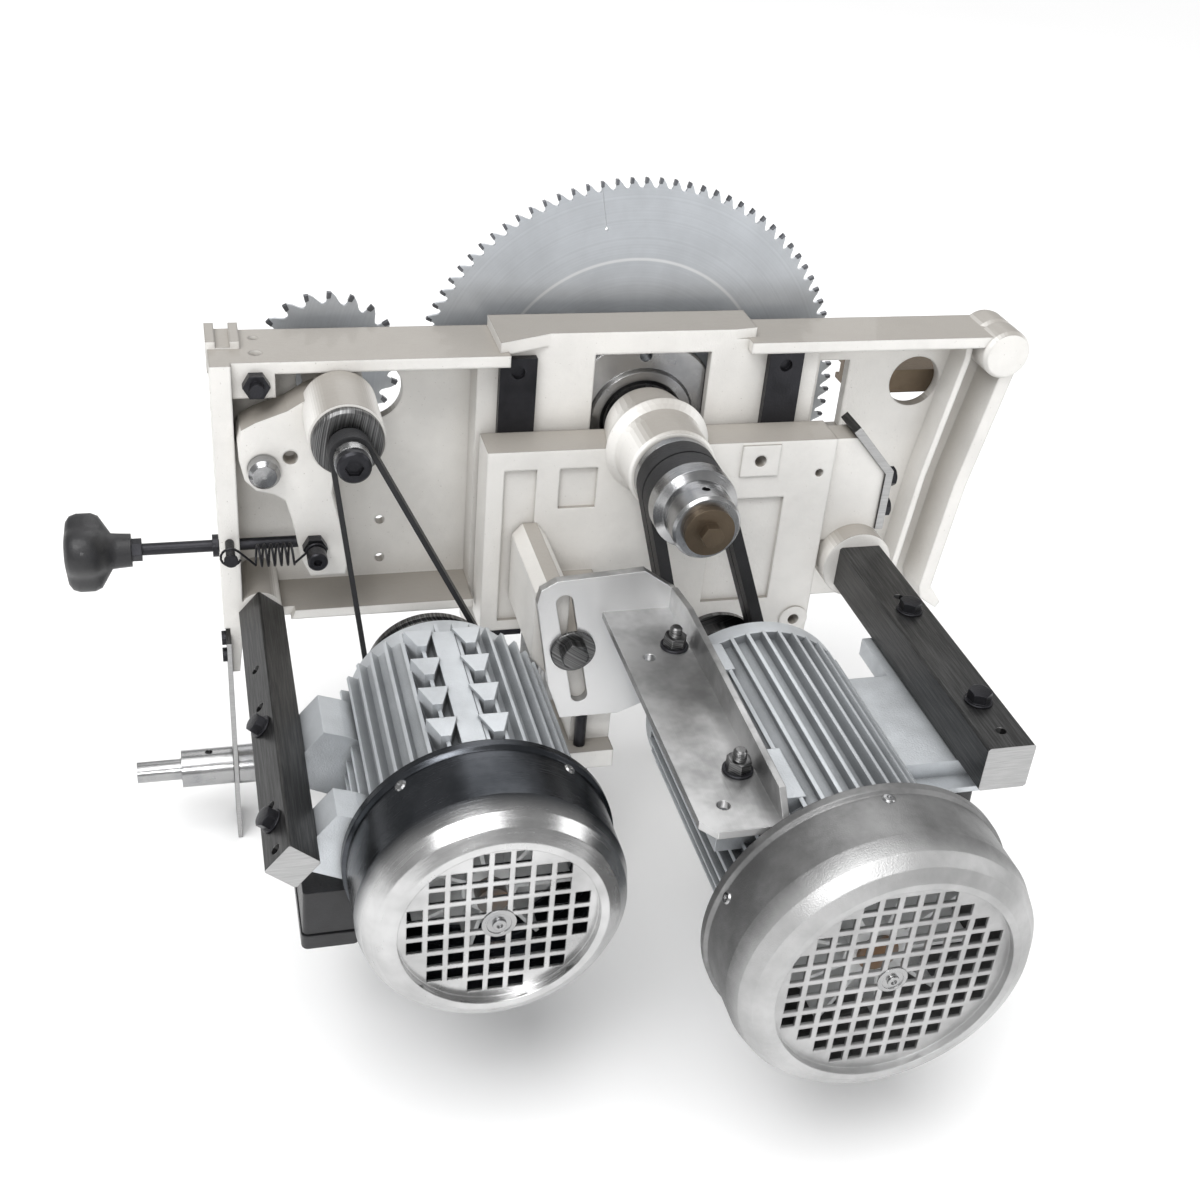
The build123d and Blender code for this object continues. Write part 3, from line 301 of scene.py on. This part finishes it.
def alloy(look):
    shop = Shop("die-cast alloy")
    skin = shop.noise(900.0, 3.0)
    stains = shop.noise(18.0, 5.0, 0.6)
    tone = shop.blend(shop.step(stains, 0.3, 0.75), toned(look.alloy), toned(look.alloy, 0.72))
    # Ambient occlusion darkens the alloy between the fins and in hollows: painted shade.
    shade = shop.node("ShaderNodeAmbientOcclusion", {"samples": 6}, {"Distance": 0.012}, "AO")
    hollow_shade = shop.blend((1.0 - shop.step(shade, 0.25, 0.95)) * 0.8, tone, (0.10, 0.105, 0.11, 1.0))
    return shop.finish(
        Base_Color=hollow_shade, Metallic=0.55, Roughness=0.34 + skin * 0.18,
        Normal=shop.relief(skin, 0.0003, 0.0009),
    )


def silver_cover(look):
    shop = Shop("silver cover")
    _, y, _ = shop.split(shop.place)
    skin = shop.noise(1100.0, 3.0)
    stains = shop.noise(14.0, 5.0, 0.65)
    front = 1.0 - shop.step(y, -0.440, -0.425)
    # The barrel gets a darker tone than the front face of the same silver cover: painted shade on its sides.
    barrel = shop.blend(shop.step(stains, 0.3, 0.72), grey(0.34), grey(0.15))
    face = shop.blend(shop.step(stains, 0.3, 0.72), grey(0.54), grey(0.36))
    return shop.finish(
        Base_Color=shop.blend(front, barrel, face), Metallic=0.85, Roughness=0.34 + stains * 0.2,
        Normal=shop.relief(skin, 0.00018, 0.0012),
    )


def dark_cover(look):
    shop = Shop("dark cover")
    _, y, _ = shop.split(shop.place)
    lines = shop.noise(40.0, 5.0, 0.7, (1.0, 16.0, 1.0))
    stains = shop.noise(20.0, 4.0, 0.6)
    front = 1.0 - shop.step(y, -0.366, -0.350)
    barrel = shop.blend(shop.step(stains, 0.35, 0.7), (0.04, 0.044, 0.05, 1.0), (0.085, 0.09, 0.10, 1.0))
    face = shop.blend(shop.step(stains, 0.3, 0.7), grey(0.62), grey(0.40))
    return shop.finish(
        Base_Color=shop.blend(front, barrel, face), Metallic=1.0, Roughness=0.15 + lines * 0.2,
        Normal=shop.relief(lines, 0.00008, 0.0012),
    )


def simple(name, colour, metallic, rough, scale, depth, spread=0.7, coat=0.0):
    def make(look):
        shop = Shop(name)
        grain = shop.noise(scale, 4.0)
        patches = shop.noise(scale * 0.06, 3.0)
        tone = shop.blend(shop.step(patches, 0.35, 0.7), toned(colour), toned(colour, spread))
        return shop.finish(
            Base_Color=tone, Metallic=metallic, Roughness=rough + grain * 0.2,
            Normal=shop.relief(grain, depth, 0.0006), Coat_Weight=coat,
        )

    return make


def wound_core(look):
    shop = Shop("wound core")
    sheets = shop.node("ShaderNodeTexWave", {"bands_direction": "Y"}, {"Vector": shop.place, "Scale": 160.0})
    rust = shop.noise(60.0, 4.0)
    tone = shop.blend(shop.step(rust, 0.4, 0.7), (0.25, 0.24, 0.23, 1.0), (0.32, 0.20, 0.12, 1.0))
    return shop.finish(
        Base_Color=tone, Metallic=0.8, Roughness=0.4 + rust * 0.2,
        Normal=shop.relief(sheets, 0.0002),
    )


def blade_steel(look):
    shop = Shop("blade steel")
    radius, marks = shop.rings(0.0, 0.0, 0.0016)
    mist = shop.noise(24.0, 5.0, 0.6)
    mottle = shop.step(marks * 0.25 + mist * 0.75, 0.30, 0.70)
    tone = shop.blend(mottle, toned(look.blade), toned(look.blade, 0.84))
    ring_radius, ring_core, ring_edge = 0.101, 0.0004, 0.0016
    ring = 1.0 - shop.step(abs(radius - ring_radius), ring_core, ring_edge)
    bright = shop.blend(ring * 0.55, tone, grey(0.85))
    return shop.finish(
        Base_Color=bright, Metallic=0.75, Roughness=0.36 + marks * 0.10,
        Normal=shop.relief(marks, 0.00004),
    )


MAKERS = {
    "cast enamel": cast_enamel,
    "drawn bar": drawn_bar,
    "ground steel": turned_steel("ground steel", 0.40, 0.17),
    "dark turned steel": dark_turned_steel,
    "brushed plate": brushed_plate,
    "die-cast alloy": alloy,
    "silver cover": silver_cover,
    "dark cover": dark_cover,
    "black oxide": simple("black oxide", (0.035, 0.035, 0.04), 0.75, 0.26, 700.0, 0.0002),
    "brown steel": simple("brown steel", (0.15, 0.115, 0.08), 0.85, 0.32, 500.0, 0.0002),
    "wound core": wound_core,
    "bronze": simple("bronze", (0.52, 0.36, 0.16), 1.0, 0.28, 400.0, 0.0002),
    "belt rubber": simple("belt rubber", (0.018, 0.018, 0.02), 0.0, 0.48, 900.0, 0.0003),
    "black plastic": simple("black plastic", (0.016, 0.016, 0.018), 0.0, 0.36, 1400.0, 0.00025, coat=0.1),
    "pale plastic": simple("pale plastic", (0.86, 0.87, 0.87), 0.0, 0.45, 500.0, 0.0001, 0.9),
    "grey plastic": simple("grey plastic", (0.62, 0.64, 0.62), 0.0, 0.38, 700.0, 0.0001, 0.92),
    "blade steel": blade_steel,
    "carbide": simple("carbide", (0.16, 0.165, 0.18), 0.9, 0.22, 600.0, 0.0001),
}


def material(name):
    return bpy.data.materials[name]


def polar(radius, angle):
    return radius * cos(angle), radius * sin(angle)


def circle(radius, steps):
    return [polar(radius, 2 * pi * n / steps) for n in range(steps)]


class Clay:
    """One mesh piece put together from turned, prismatic and hexagonal solids."""

    def __init__(self, name):
        self.name = name
        self.mesh = bmesh.new()
        self.slot = 0

    def rings(self, rings, matrix):
        """Closed skin over rings of equally many points."""
        made = [[self.mesh.verts.new(matrix @ Vector(p)) for p in ring] for ring in rings]
        faces = []
        for a, b in zip(made, made[1:]):
            for n in range(len(a)):
                m = (n + 1) % len(a)
                faces.append(self.mesh.faces.new((a[n], a[m], b[m], b[n])))
        faces.append(self.mesh.faces.new(list(reversed(made[0]))))
        faces.append(self.mesh.faces.new(made[-1]))
        for face in faces:
            face.material_index = self.slot

    def lathe(self, origin, axis, outline, steps=48):
        """Outline of (radius, height) pairs turned about an axis that starts at origin."""
        least = 0.00002
        rings = []
        for radius, height in outline:
            rings.append([(x, y, height) for x, y in circle(max(radius, least), steps)])
        self.rings(rings, stand(origin, axis))

    def head(self, origin, axis, flats, height, turn=0.0):
        """Hexagonal head with its corners chamfered."""
        matrix = stand(origin, axis) @ Matrix.Rotation(turn, 4, "Z")
        steps = 48
        inscribed = flats / 2
        low, edge, top = [], [], []
        for n in range(steps):
            a = 2 * pi * n / steps
            off_flat = (a + pi / 6) % (pi / 3) - pi / 6
            radius = inscribed / cos(off_flat)
            drop = max(0.0, radius - inscribed * 0.985) * tan(radians(32))
            low.append((*polar(radius, a), 0.0))
            edge.append((*polar(radius, a), height - drop))
            top.append((*polar(inscribed * 0.93, a), height))
        self.rings([low, edge, top], matrix)

    def thread(self, origin, axis, radius, length, pitch=0.00125):
        root = radius * 0.86
        outline = [(root, 0.0)]
        turns = max(2, int(length / pitch))
        for n in range(turns):
            outline += [(radius, (n + 0.3) * pitch), (root, (n + 0.8) * pitch)]
        outline.append((radius * 0.7, turns * pitch + 0.0005))
        self.lathe(origin, axis, outline, 24)

    def done(self, body, finishes, replaces=(), bevel=0.0, smooth=35.0):
        bmesh.ops.recalc_face_normals(self.mesh, faces=self.mesh.faces)
        data = bpy.data.meshes.new(self.name)
        self.mesh.to_mesh(data)
        self.mesh.free()
        piece = bpy.data.objects.new(self.name, data)
        bpy.context.scene.collection.objects.link(piece)
        for finish in finishes:
            data.materials.append(material(finish))
        data.polygons.foreach_set("use_smooth", [True] * len(data.polygons))
        data.set_sharp_from_angle(angle=radians(smooth))
        if bevel:
            rounding = piece.modifiers.new("rounding", "BEVEL")
            rounding.width = bevel
            rounding.segments = 3
            rounding.limit_method = "ANGLE"
            rounding.angle_limit = radians(40)
            rounding.harden_normals = True
        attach(piece, body)
        if replaces:
            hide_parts(*replaces)
        return piece


def stand(origin, axis):
    """Matrix that takes +Z to the axis and the origin to a point."""
    axis = Vector(axis).normalized()
    side = Vector((0, 0, 1)) if abs(axis.z) < 0.9 else Vector((1, 0, 0))
    x = side.cross(axis).normalized()
    y = axis.cross(x)
    turn = Matrix((x, y, axis)).transposed().to_4x4()
    return Matrix.Translation(Vector(origin)) @ turn


# Outlines as shares of the tooth pitch, and depths under the rim as shares of the gullet.
TOOTH = (
    (0.0, 0.42), (0.02, 0.72), (0.07, 0.93), (0.17, 1.0), (0.30, 0.95), (0.44, 0.74), (0.60, 0.38),
    (0.78, 0.10), (0.985, 0.03),
)
CARBIDE_TIP = ((-0.20, 0.05), (0.0, 0.0), (0.03, 0.55), (-0.16, 0.50))
BLADE_THICKNESS = 0.0022
TIP_PROUD = 0.0005
SLOT_WIDTH = 0.0005
SLOT_HOLE = 0.0013


def expansion_slot(angle, radius, gullet):
    """Outline of a slot that runs in from the rim to a small round hole."""
    end = radius * 0.80
    lean = SLOT_WIDTH / 2 / end
    points = [polar(radius - gullet * 0.06, angle - SLOT_WIDTH / radius), polar(end, angle - lean)]
    x, y = polar(end - SLOT_HOLE, angle)
    for k in range(9):
        dx, dy = polar(SLOT_HOLE, angle - radians(20) - radians(320) * k / 8)
        points.append((x + dx, y + dy))
    points.append(polar(end, angle + lean))
    return points


def blade(name, body, node, axis, radius, teeth, gullet, bore, slots):
    """Saw blade with hooked teeth, carbide tips and expansion slots."""
    clay = Clay(name)
    mesh = clay.mesh
    x, z = axis
    pitch = 2 * pi / teeth
    rim = []
    for n in range(teeth):
        rim += [polar(radius - gullet * depth, (n + share) * pitch) for share, depth in TOOTH]
        if slots and n % (teeth // slots) == 2:
            rim += expansion_slot((n + 1) * pitch, radius, gullet)
    half = BLADE_THICKNESS / 2
    sides = []
    for y in (half, -half):
        side = [
            [mesh.verts.new((x + px, y, z + pz)) for px, pz in outline]
            for outline in (rim, circle(bore, 64))
        ]
        edges = [mesh.edges.new((ring[k - 1], ring[k])) for ring in side for k in range(len(ring))]
        bmesh.ops.triangle_fill(mesh, edges=edges, use_beauty=True)
        sides.append(side)
    for back, front in zip(*sides):
        for k in range(len(front)):
            mesh.faces.new((front[k - 1], front[k], back[k], back[k - 1]))
    clay.slot = 1
    wide = half + TIP_PROUD
    for n in range(teeth):
        tip = [polar(radius - gullet * depth, (n + share) * pitch) for share, depth in CARBIDE_TIP]
        clay.rings([[(x + px, y, z + pz) for px, pz in tip] for y in (wide, -wide)], Matrix.Identity(4))
    return clay.done(body, ["blade steel", "carbide"], [node], smooth=25.0)


def bolt(clay, origin, axis, flats, washer, washer_t, height=0.0065, thread=0.0, thread_r=0.004, turn=0.0):
    """Washer, hexagonal head and, where it shows, the end of the thread."""
    origin, axis = Vector(origin), Vector(axis).normalized()
    if washer:
        clay.lathe(origin, axis, [
            (washer - 0.0004, 0.0), (washer, 0.0003), (washer, washer_t - 0.0003),
            (washer - 0.0004, washer_t), (flats * 0.4, washer_t),
        ])
    clay.head(origin + axis * washer_t, axis, flats, height, turn)
    if thread:
        clay.thread(origin + axis * (washer_t + height - 0.0005), axis, thread_r, thread)


class SawLook(bpy.types.PropertyGroup):
    """Colours that a user would change."""

    enamel: bpy.props.FloatVectorProperty(
        name="Enamel", description="Colour of the painted castings",
        subtype="COLOR", default=(0.89, 0.875, 0.845), min=0.0, max=1.0,
    )
    # Colour of the faces that look up: some dust, but mostly painted shade.
    enamel_top_dust_and_shade: bpy.props.FloatVectorProperty(
        name="Enamel on top faces", description="Dusty colour of the faces that look up",
        subtype="COLOR", default=(0.235, 0.213, 0.186), min=0.0, max=1.0,
    )
    alloy: bpy.props.FloatVectorProperty(
        name="Alloy", description="Colour of the motor castings",
        subtype="COLOR", default=(0.72, 0.75, 0.78), min=0.0, max=1.0,
    )
    blade: bpy.props.FloatVectorProperty(
        name="Blade", description="Colour of the blades",
        subtype="COLOR", default=(0.56, 0.585, 0.615), min=0.0, max=1.0,
    )


class SawSizes(bpy.types.PropertyGroup):
    """Sizes of the fine pieces."""

    slots: bpy.props.IntProperty(
        name="Expansion slots", description="Slots cut into the main blade", default=4, min=0, max=8,
    )
    flats: bpy.props.FloatProperty(
        name="Bolt width", description="Width of the motor bolts across their flats",
        default=0.013, unit="LENGTH",
    )
    wire: bpy.props.FloatProperty(
        name="Spring wire", description="Radius of the spring's wire", default=0.0008, unit="LENGTH",
    )


class SAW_OT_finishes(bpy.types.Operator):
    """Make every finish and put it on the carried pieces"""

    bl_idname = "saw.finishes"
    bl_label = "Finishes"

    def execute(self, context):
        for name, nodes in FINISH_OF.items():
            made = MAKERS[name](context.scene.saw_look)
            for node in nodes:
                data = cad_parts[node].data
                data.materials.clear()
                data.materials.append(made)
        return {"FINISHED"}


class SAW_OT_blades(bpy.types.Operator):
    """Make the main blade and the scoring blade"""

    bl_idname = "saw.blades"
    bl_label = "Blades"

    def execute(self, context):
        low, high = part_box("main_blade")
        clear = 0.0002
        blade(
            "main_saw_blade", "main_spindle", "main_blade", (0.0, 0.0), (high.z - low.z) / 2 - clear,
            teeth=96, gullet=0.0072, bore=0.015, slots=context.scene.saw_sizes.slots,
        )
        blade(
            "scoring_saw_blade", "scoring_spindle", "scoring_blade", SCORING_SPINDLE, 0.0498 - clear,
            teeth=20, gullet=0.0082, bore=0.010, slots=0,
        )
        return {"FINISHED"}


class SAW_OT_fasteners(bpy.types.Operator):
    """Make the bolts, nuts and washers"""

    bl_idname = "saw.fasteners"
    bl_label = "Fasteners"

    def execute(self, context):
        flats = context.scene.saw_sizes.flats
        up = (0, 0, 1)
        clay = Clay("motor_bar_bolts")
        for y in (-0.178, -0.283):
            bolt(clay, (0.161, y, -0.084), up, flats, 0.009, 0.0016, turn=y * 9)
        clay.done("main_motor", ["black oxide"], ["bar_bolts"])

        stud_x, stud_ys, shelf = -0.018, (-0.212, -0.337), -0.075
        washer = [
            (0.0041, 0.0), (0.0086, 0.0), (0.009, 0.0003), (0.009, 0.0015), (0.0086, 0.0018),
            (0.0041, 0.0018),
        ]
        clay = Clay("shelf_washers")
        for y in stud_ys:
            clay.lathe((stud_x, y, shelf), up, washer)
        clay.done("main_motor", ["black oxide"], ["bracket_studs"])
        clay = Clay("shelf_nuts")
        for y in stud_ys:
            bolt(clay, (stud_x, y, shelf + 0.0018), up, flats, 0.0, 0.0, 0.007, 0.0065, turn=y * 5)
        clay.done("main_motor", ["dark turned steel"], [])

        bolt_x, bolt_z = -0.0712, -0.103
        clay = Clay("belt_tension_bolt")
        bolt(clay, (bolt_x, -0.1676, bolt_z), (0, -1, 0), 0.017, 0.015, 0.0025, 0.007, turn=0.3)
        clay.lathe((bolt_x, -0.1678, bolt_z), (0, 1, 0), [(0.00425, 0.0), (0.00425, 0.031)], 24)
        clay.done("carriage", ["dark turned steel"], ["slot_bolt"])

        clay = Clay("guard_plate_bolts")
        for z in (-0.042, -0.067):
            bolt(clay, (0.183, -0.065, z), (1, 0, 0), flats, 0.009, 0.0016, 0.006, turn=z * 30)
        clay.done("carriage", ["black oxide"], ["clamp_bolts"])

        clay = Clay("small_bar_bolts")
        slope = radians(-40)
        along = Vector((cos(slope), 0.0, sin(slope)))
        for y in (-0.212, -0.299):
            near = Vector((-0.265, y, -0.118)) - along * 0.011
            bolt(clay, near, -along, 0.011, 0.0075, 0.0014, 0.006, turn=y * 20)
        clay.done("scoring_motor", ["black oxide"], ["scoring_bar_bolts"])
        return {"FINISHED"}


# Share of the radius, height, and how deep the hollows between the lobes go there.
KNOB_RADIUS = 0.0272
KNOB_OUTLINE = (
    (0.40, 0.0, 0.0), (0.42, 0.0085, 0.0), (0.44, 0.0125, 0.1), (0.70, 0.0165, 0.7), (0.92, 0.020, 1.0),
    (1.0, 0.0245, 1.0), (1.0, 0.0335, 1.0), (0.94, 0.0378, 1.0), (0.80, 0.0402, 0.9), (0.5, 0.0412, 0.5),
    (0.34, 0.0402, 0.2), (0.30, 0.0396, 0.0), (0.001, 0.0396, 0.0),
)


class SAW_OT_knob(bpy.types.Operator):
    """Make the moulded knob of the scoring height adjuster"""

    bl_idname = "saw.knob"
    bl_label = "Adjusting knob"

    def execute(self, context):
        clay = Clay("star_knob")
        steps, lobes = 96, 3
        rings = []
        for share, height, lobed in KNOB_OUTLINE:
            ring = []
            for n in range(steps):
                a = 2 * pi * n / steps
                wave = 0.5 + 0.5 * cos(lobes * (a - radians(30)))
                radius = KNOB_RADIUS * share * (1 - lobed * 0.27 * (1 - wave) ** 1.3)
                ring.append((*polar(radius, a), height))
            rings.append(ring)
        clay.rings(rings, stand((-0.3455, -0.064, -0.070), (-1, 0, 0)))
        clay.done("adjuster", ["black plastic"], ["adjusting_knob"], smooth=60.0)
        return {"FINISHED"}


class SAW_OT_spring(bpy.types.Operator):
    """Make the tension spring with its two hooks"""

    bl_idname = "saw.spring"
    bl_label = "Spring"

    def execute(self, context):
        wire = context.scene.saw_sizes.wire
        y, z = -0.0905, -0.064
        coil, hook, turns, steps, hook_steps = 0.0070, 0.0064, 6, 16, 12
        coil_start, coil_length = -0.268, 0.025
        points = []
        for n in range(hook_steps + 1):
            t = radians(-160 + 300 * n / hook_steps)
            points.append((-0.2835 - hook * cos(t), y, z + hook * sin(t)))
        for n in range(turns * steps + 1):
            t = 2 * pi * n / steps
            x = coil_start + coil_length * n / (turns * steps)
            points.append((x, y + coil * sin(t), z - coil * cos(t)))
        for n in range(hook_steps + 1):
            t = radians(180 - 300 * n / hook_steps)
            points.append((-0.229 + hook * cos(t), y, z + hook * sin(t)))
        curve = bpy.data.curves.new("adjuster_tension_spring", "CURVE")
        curve.dimensions = "3D"
        curve.bevel_depth = wire
        curve.bevel_resolution = 4
        curve.use_fill_caps = True
        line = curve.splines.new("POLY")
        line.points.add(len(points) - 1)
        for point, place in zip(line.points, points):
            point.co = (*place, 1.0)
        line.use_smooth = True
        curve.materials.append(material("black oxide"))
        piece = bpy.data.objects.new("tension_spring", curve)
        bpy.context.scene.collection.objects.link(piece)
        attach(piece, "frame")
        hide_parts("adjuster_spring")
        return {"FINISHED"}


class SAW_OT_boxes(bpy.types.Operator):
    """Make the terminal boxes with their lids, and the cable gland"""

    bl_idname = "saw.boxes"
    bl_label = "Terminal boxes"

    def execute(self, context):
        for node, body, name in (
            ("main_terminal_box", "main_motor", "main_connection_box"),
            ("scoring_terminal_box", "scoring_motor", "scoring_connection_box"),
        ):
            low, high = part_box(node)
            clay = Clay(name)
            seam = low.z + (high.z - low.z) * 0.28
            rings = []
            for z, inset in (
                (high.z, 0.0016), (seam + 0.0006, 0.0008), (seam + 0.0006, 0.0022), (seam - 0.0006, 0.0022),
                (seam - 0.0006, 0.0), (low.z + 0.002, 0.0), (low.z, 0.002),
            ):
                rings.append([(x, y, z) for x, y in self.shape(low, high, inset)])
            clay.rings(rings, Matrix.Identity(4))
            for x in (low.x + 0.006, high.x - 0.006):
                for y in (low.y + 0.006, high.y - 0.006):
                    clay.lathe((x, y, low.z + 0.0018), (0, 0, 1), [(0.0032, 0.0), (0.0032, 0.004)], 20)
            clay.done(body, ["black plastic"], [node], bevel=0.0005)

        clay = Clay("gland_nut")
        x, end, z = 0.140, -0.310, -0.146
        out = (0, -1, 0)
        clay.lathe((x, end, z), out, [(0.0095, 0.0), (0.0095, 0.006)])
        clay.head((x, end - 0.006, z), out, 0.0215, 0.0068)
        clay.lathe((x, end - 0.0125, z), out, [
            (0.0100, 0.0), (0.0098, 0.0075), (0.0086, 0.0110), (0.0062, 0.0134), (0.0044, 0.0134),
            (0.0040, 0.0120), (0.0040, 0.006),
        ])
        for dx, dz in circle(0.0096, 16):
            clay.lathe((x + dx, end - 0.0135, z + dz), out, [(0.0007, 0.0), (0.0007, 0.0075)], 8)
        clay.done("main_motor", ["grey plastic"], ["cable_gland"])
        return {"FINISHED"}

    def shape(self, low, high, inset):
        """Round-cornered outline of a box."""
        r = 0.004
        points = []
        for cx, cy, start in (
            (high.x - r, high.y - r, 0), (low.x + r, high.y - r, 90), (low.x + r, low.y + r, 180),
            (high.x - r, low.y + r, 270),
        ):
            for n in range(6):
                dx, dy = polar(r - inset, radians(start + 90 * n / 5))
                points.append((cx + dx, cy + dy))
        return points


class SAW_OT_cover_screws(bpy.types.Operator):
    """Make the screws of the fan covers and of the end shields"""

    bl_idname = "saw.cover_screws"
    bl_label = "Cover screws"

    def execute(self, context):
        screw = [(0.0038, 0.0), (0.0038, 0.0008), (0.0030, 0.0018), (0.0012, 0.0020), (0.0012, 0.0012)]
        sunk = 0.0006
        for name, body, (x, z), r, y, turns in (
            ("scoring_cover_screws", "scoring_motor", SCORING_MOTOR, 0.0768, -0.318, (52, 128, 232, 308)),
            ("main_cover_screws", "main_motor", MAIN_MOTOR, 0.0888, -0.398, (20, 90, 160, 270)),
        ):
            clay = Clay(name)
            for turn in turns:
                t = radians(turn)
                out = Vector((cos(t), 0.0, sin(t)))
                clay.lathe(Vector((x, y, z)) + out * (r - sunk), out, screw, 24)
            clay.done(body, ["ground steel"])
        for name, body, (x, z), y, r in (
            ("scoring_cover_centre", "scoring_motor", SCORING_MOTOR, -0.369, 0.0098),
            ("main_cover_centre", "main_motor", MAIN_MOTOR, -0.443, 0.0088),
        ):
            clay = Clay(name)
            clay.lathe((x, y, z), (0, -1, 0), [
                (r, 0.0), (r, 0.0006), (r * 0.72, 0.0012), (r * 0.7, 0.0006), (r * 0.4, 0.0006),
                (r * 0.38, 0.0022), (0.0018, 0.0026), (0.0018, 0.0014),
            ])
            clay.done(body, ["ground steel"])
        return {"FINISHED"}


class SAW_OT_stage(bpy.types.Operator):
    """Make the camera, the floor and the lights"""

    bl_idname = "saw.stage"
    bl_label = "Stage"

    def execute(self, context):
        scene = context.scene
        camera = bpy.data.objects.new("camera", bpy.data.cameras.new("camera"))
        camera.data.lens = 45.65
        camera.data.sensor_width = 36.0
        right = Vector((0.96581, -0.24625, 0.08104))
        up = Vector((0.06533, 0.53369, 0.84315))
        ahead = Vector((0.25088, 0.80903, -0.53153))
        turn = Matrix((right, up, -ahead)).transposed().to_4x4()
        camera.matrix_world = Matrix.Translation((-0.3016, -0.9603, 0.4553)) @ turn
        camera.data.clip_start = 0.01
        scene.collection.objects.link(camera)
        scene.camera = camera

        shop = Shop("floor")
        dapple = shop.noise(2.0, 2.0)
        paint = shop.finish(Base_Color=shop.blend(dapple, grey(0.95), grey(0.97)), Roughness=0.85)
        mesh = bpy.data.meshes.new("floor")
        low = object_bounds()[0].z - 0.0005
        far = 9
        corners = [(-far, -far, low), (far, -far, low), (far, far, low), (-far, far, low)]
        mesh.from_pydata(corners, [], [(0, 1, 2, 3)])
        mesh.materials.append(paint)
        floor = bpy.data.objects.new("floor", mesh)
        scene.collection.objects.link(floor)
        floor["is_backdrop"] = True

        world = bpy.data.worlds.new("studio")
        world.use_nodes = True
        background = world.node_tree.nodes["Background"]
        background.inputs["Color"].default_value = grey(1.0)
        background.inputs["Strength"].default_value = 0.40
        scene.world = world
        aim = Vector((-0.05, -0.18, -0.08))
        # A light without a size is a sun, whose strength isn't in watts.
        for name, place, size, power in (
            ("key", (-1.3, -1.5, 2.0), 1.0, 15.0),
            ("side", (2.0, -1.0, 0.9), 0.8, 7.0),
            ("flash", (-0.45, -1.7, 0.70), 0.35, 6.0),
            ("back", (0.4, 1.9, 1.5), 1.6, 12.0),
            ("sky", (-0.6, -0.7, 2.2), 0.0, 2.1),
        ):
            light = bpy.data.lights.new(name, "AREA" if size else "SUN")
            light.energy = power
            if size:
                light.size = size
            else:
                light.angle = radians(50)
            lamp = bpy.data.objects.new(name, light)
            lamp.location = place
            lamp.rotation_euler = (aim - Vector(place)).to_track_quat("-Z", "Y").to_euler()
            scene.collection.objects.link(lamp)
        scene.view_settings.view_transform = "Standard"
        return {"FINISHED"}


class SAW_PT_panel(bpy.types.Panel):
    """Buttons for the saw unit's pieces"""

    bl_label = "Saw unit"
    bl_idname = "SAW_PT_panel"
    bl_space_type = "VIEW_3D"
    bl_region_type = "UI"
    bl_category = "Saw unit"

    def draw(self, context):
        for group in (context.scene.saw_look, context.scene.saw_sizes):
            for name in group.__annotations__:
                self.layout.prop(group, name)
        for operator in OPERATORS:
            self.layout.operator(operator.bl_idname)


OPERATORS = (
    SAW_OT_finishes,
    SAW_OT_blades,
    SAW_OT_fasteners,
    SAW_OT_knob,
    SAW_OT_spring,
    SAW_OT_boxes,
    SAW_OT_cover_screws,
    SAW_OT_stage,
)
CLASSES = (SawLook, SawSizes) + OPERATORS + (SAW_PT_panel,)


def register():
    for cls in CLASSES:
        bpy.utils.register_class(cls)
    bpy.types.Scene.saw_look = bpy.props.PointerProperty(type=SawLook)
    bpy.types.Scene.saw_sizes = bpy.props.PointerProperty(type=SawSizes)


def unregister():
    del bpy.types.Scene.saw_sizes
    del bpy.types.Scene.saw_look
    for cls in reversed(CLASSES):
        bpy.utils.unregister_class(cls)


def main():
    register()
    bpy.ops.saw.finishes()
    bpy.ops.saw.blades()
    bpy.ops.saw.fasteners()
    bpy.ops.saw.knob()
    bpy.ops.saw.spring()
    bpy.ops.saw.boxes()
    bpy.ops.saw.cover_screws()
    bpy.ops.saw.stage()


if __name__ == "__main__":
    main()
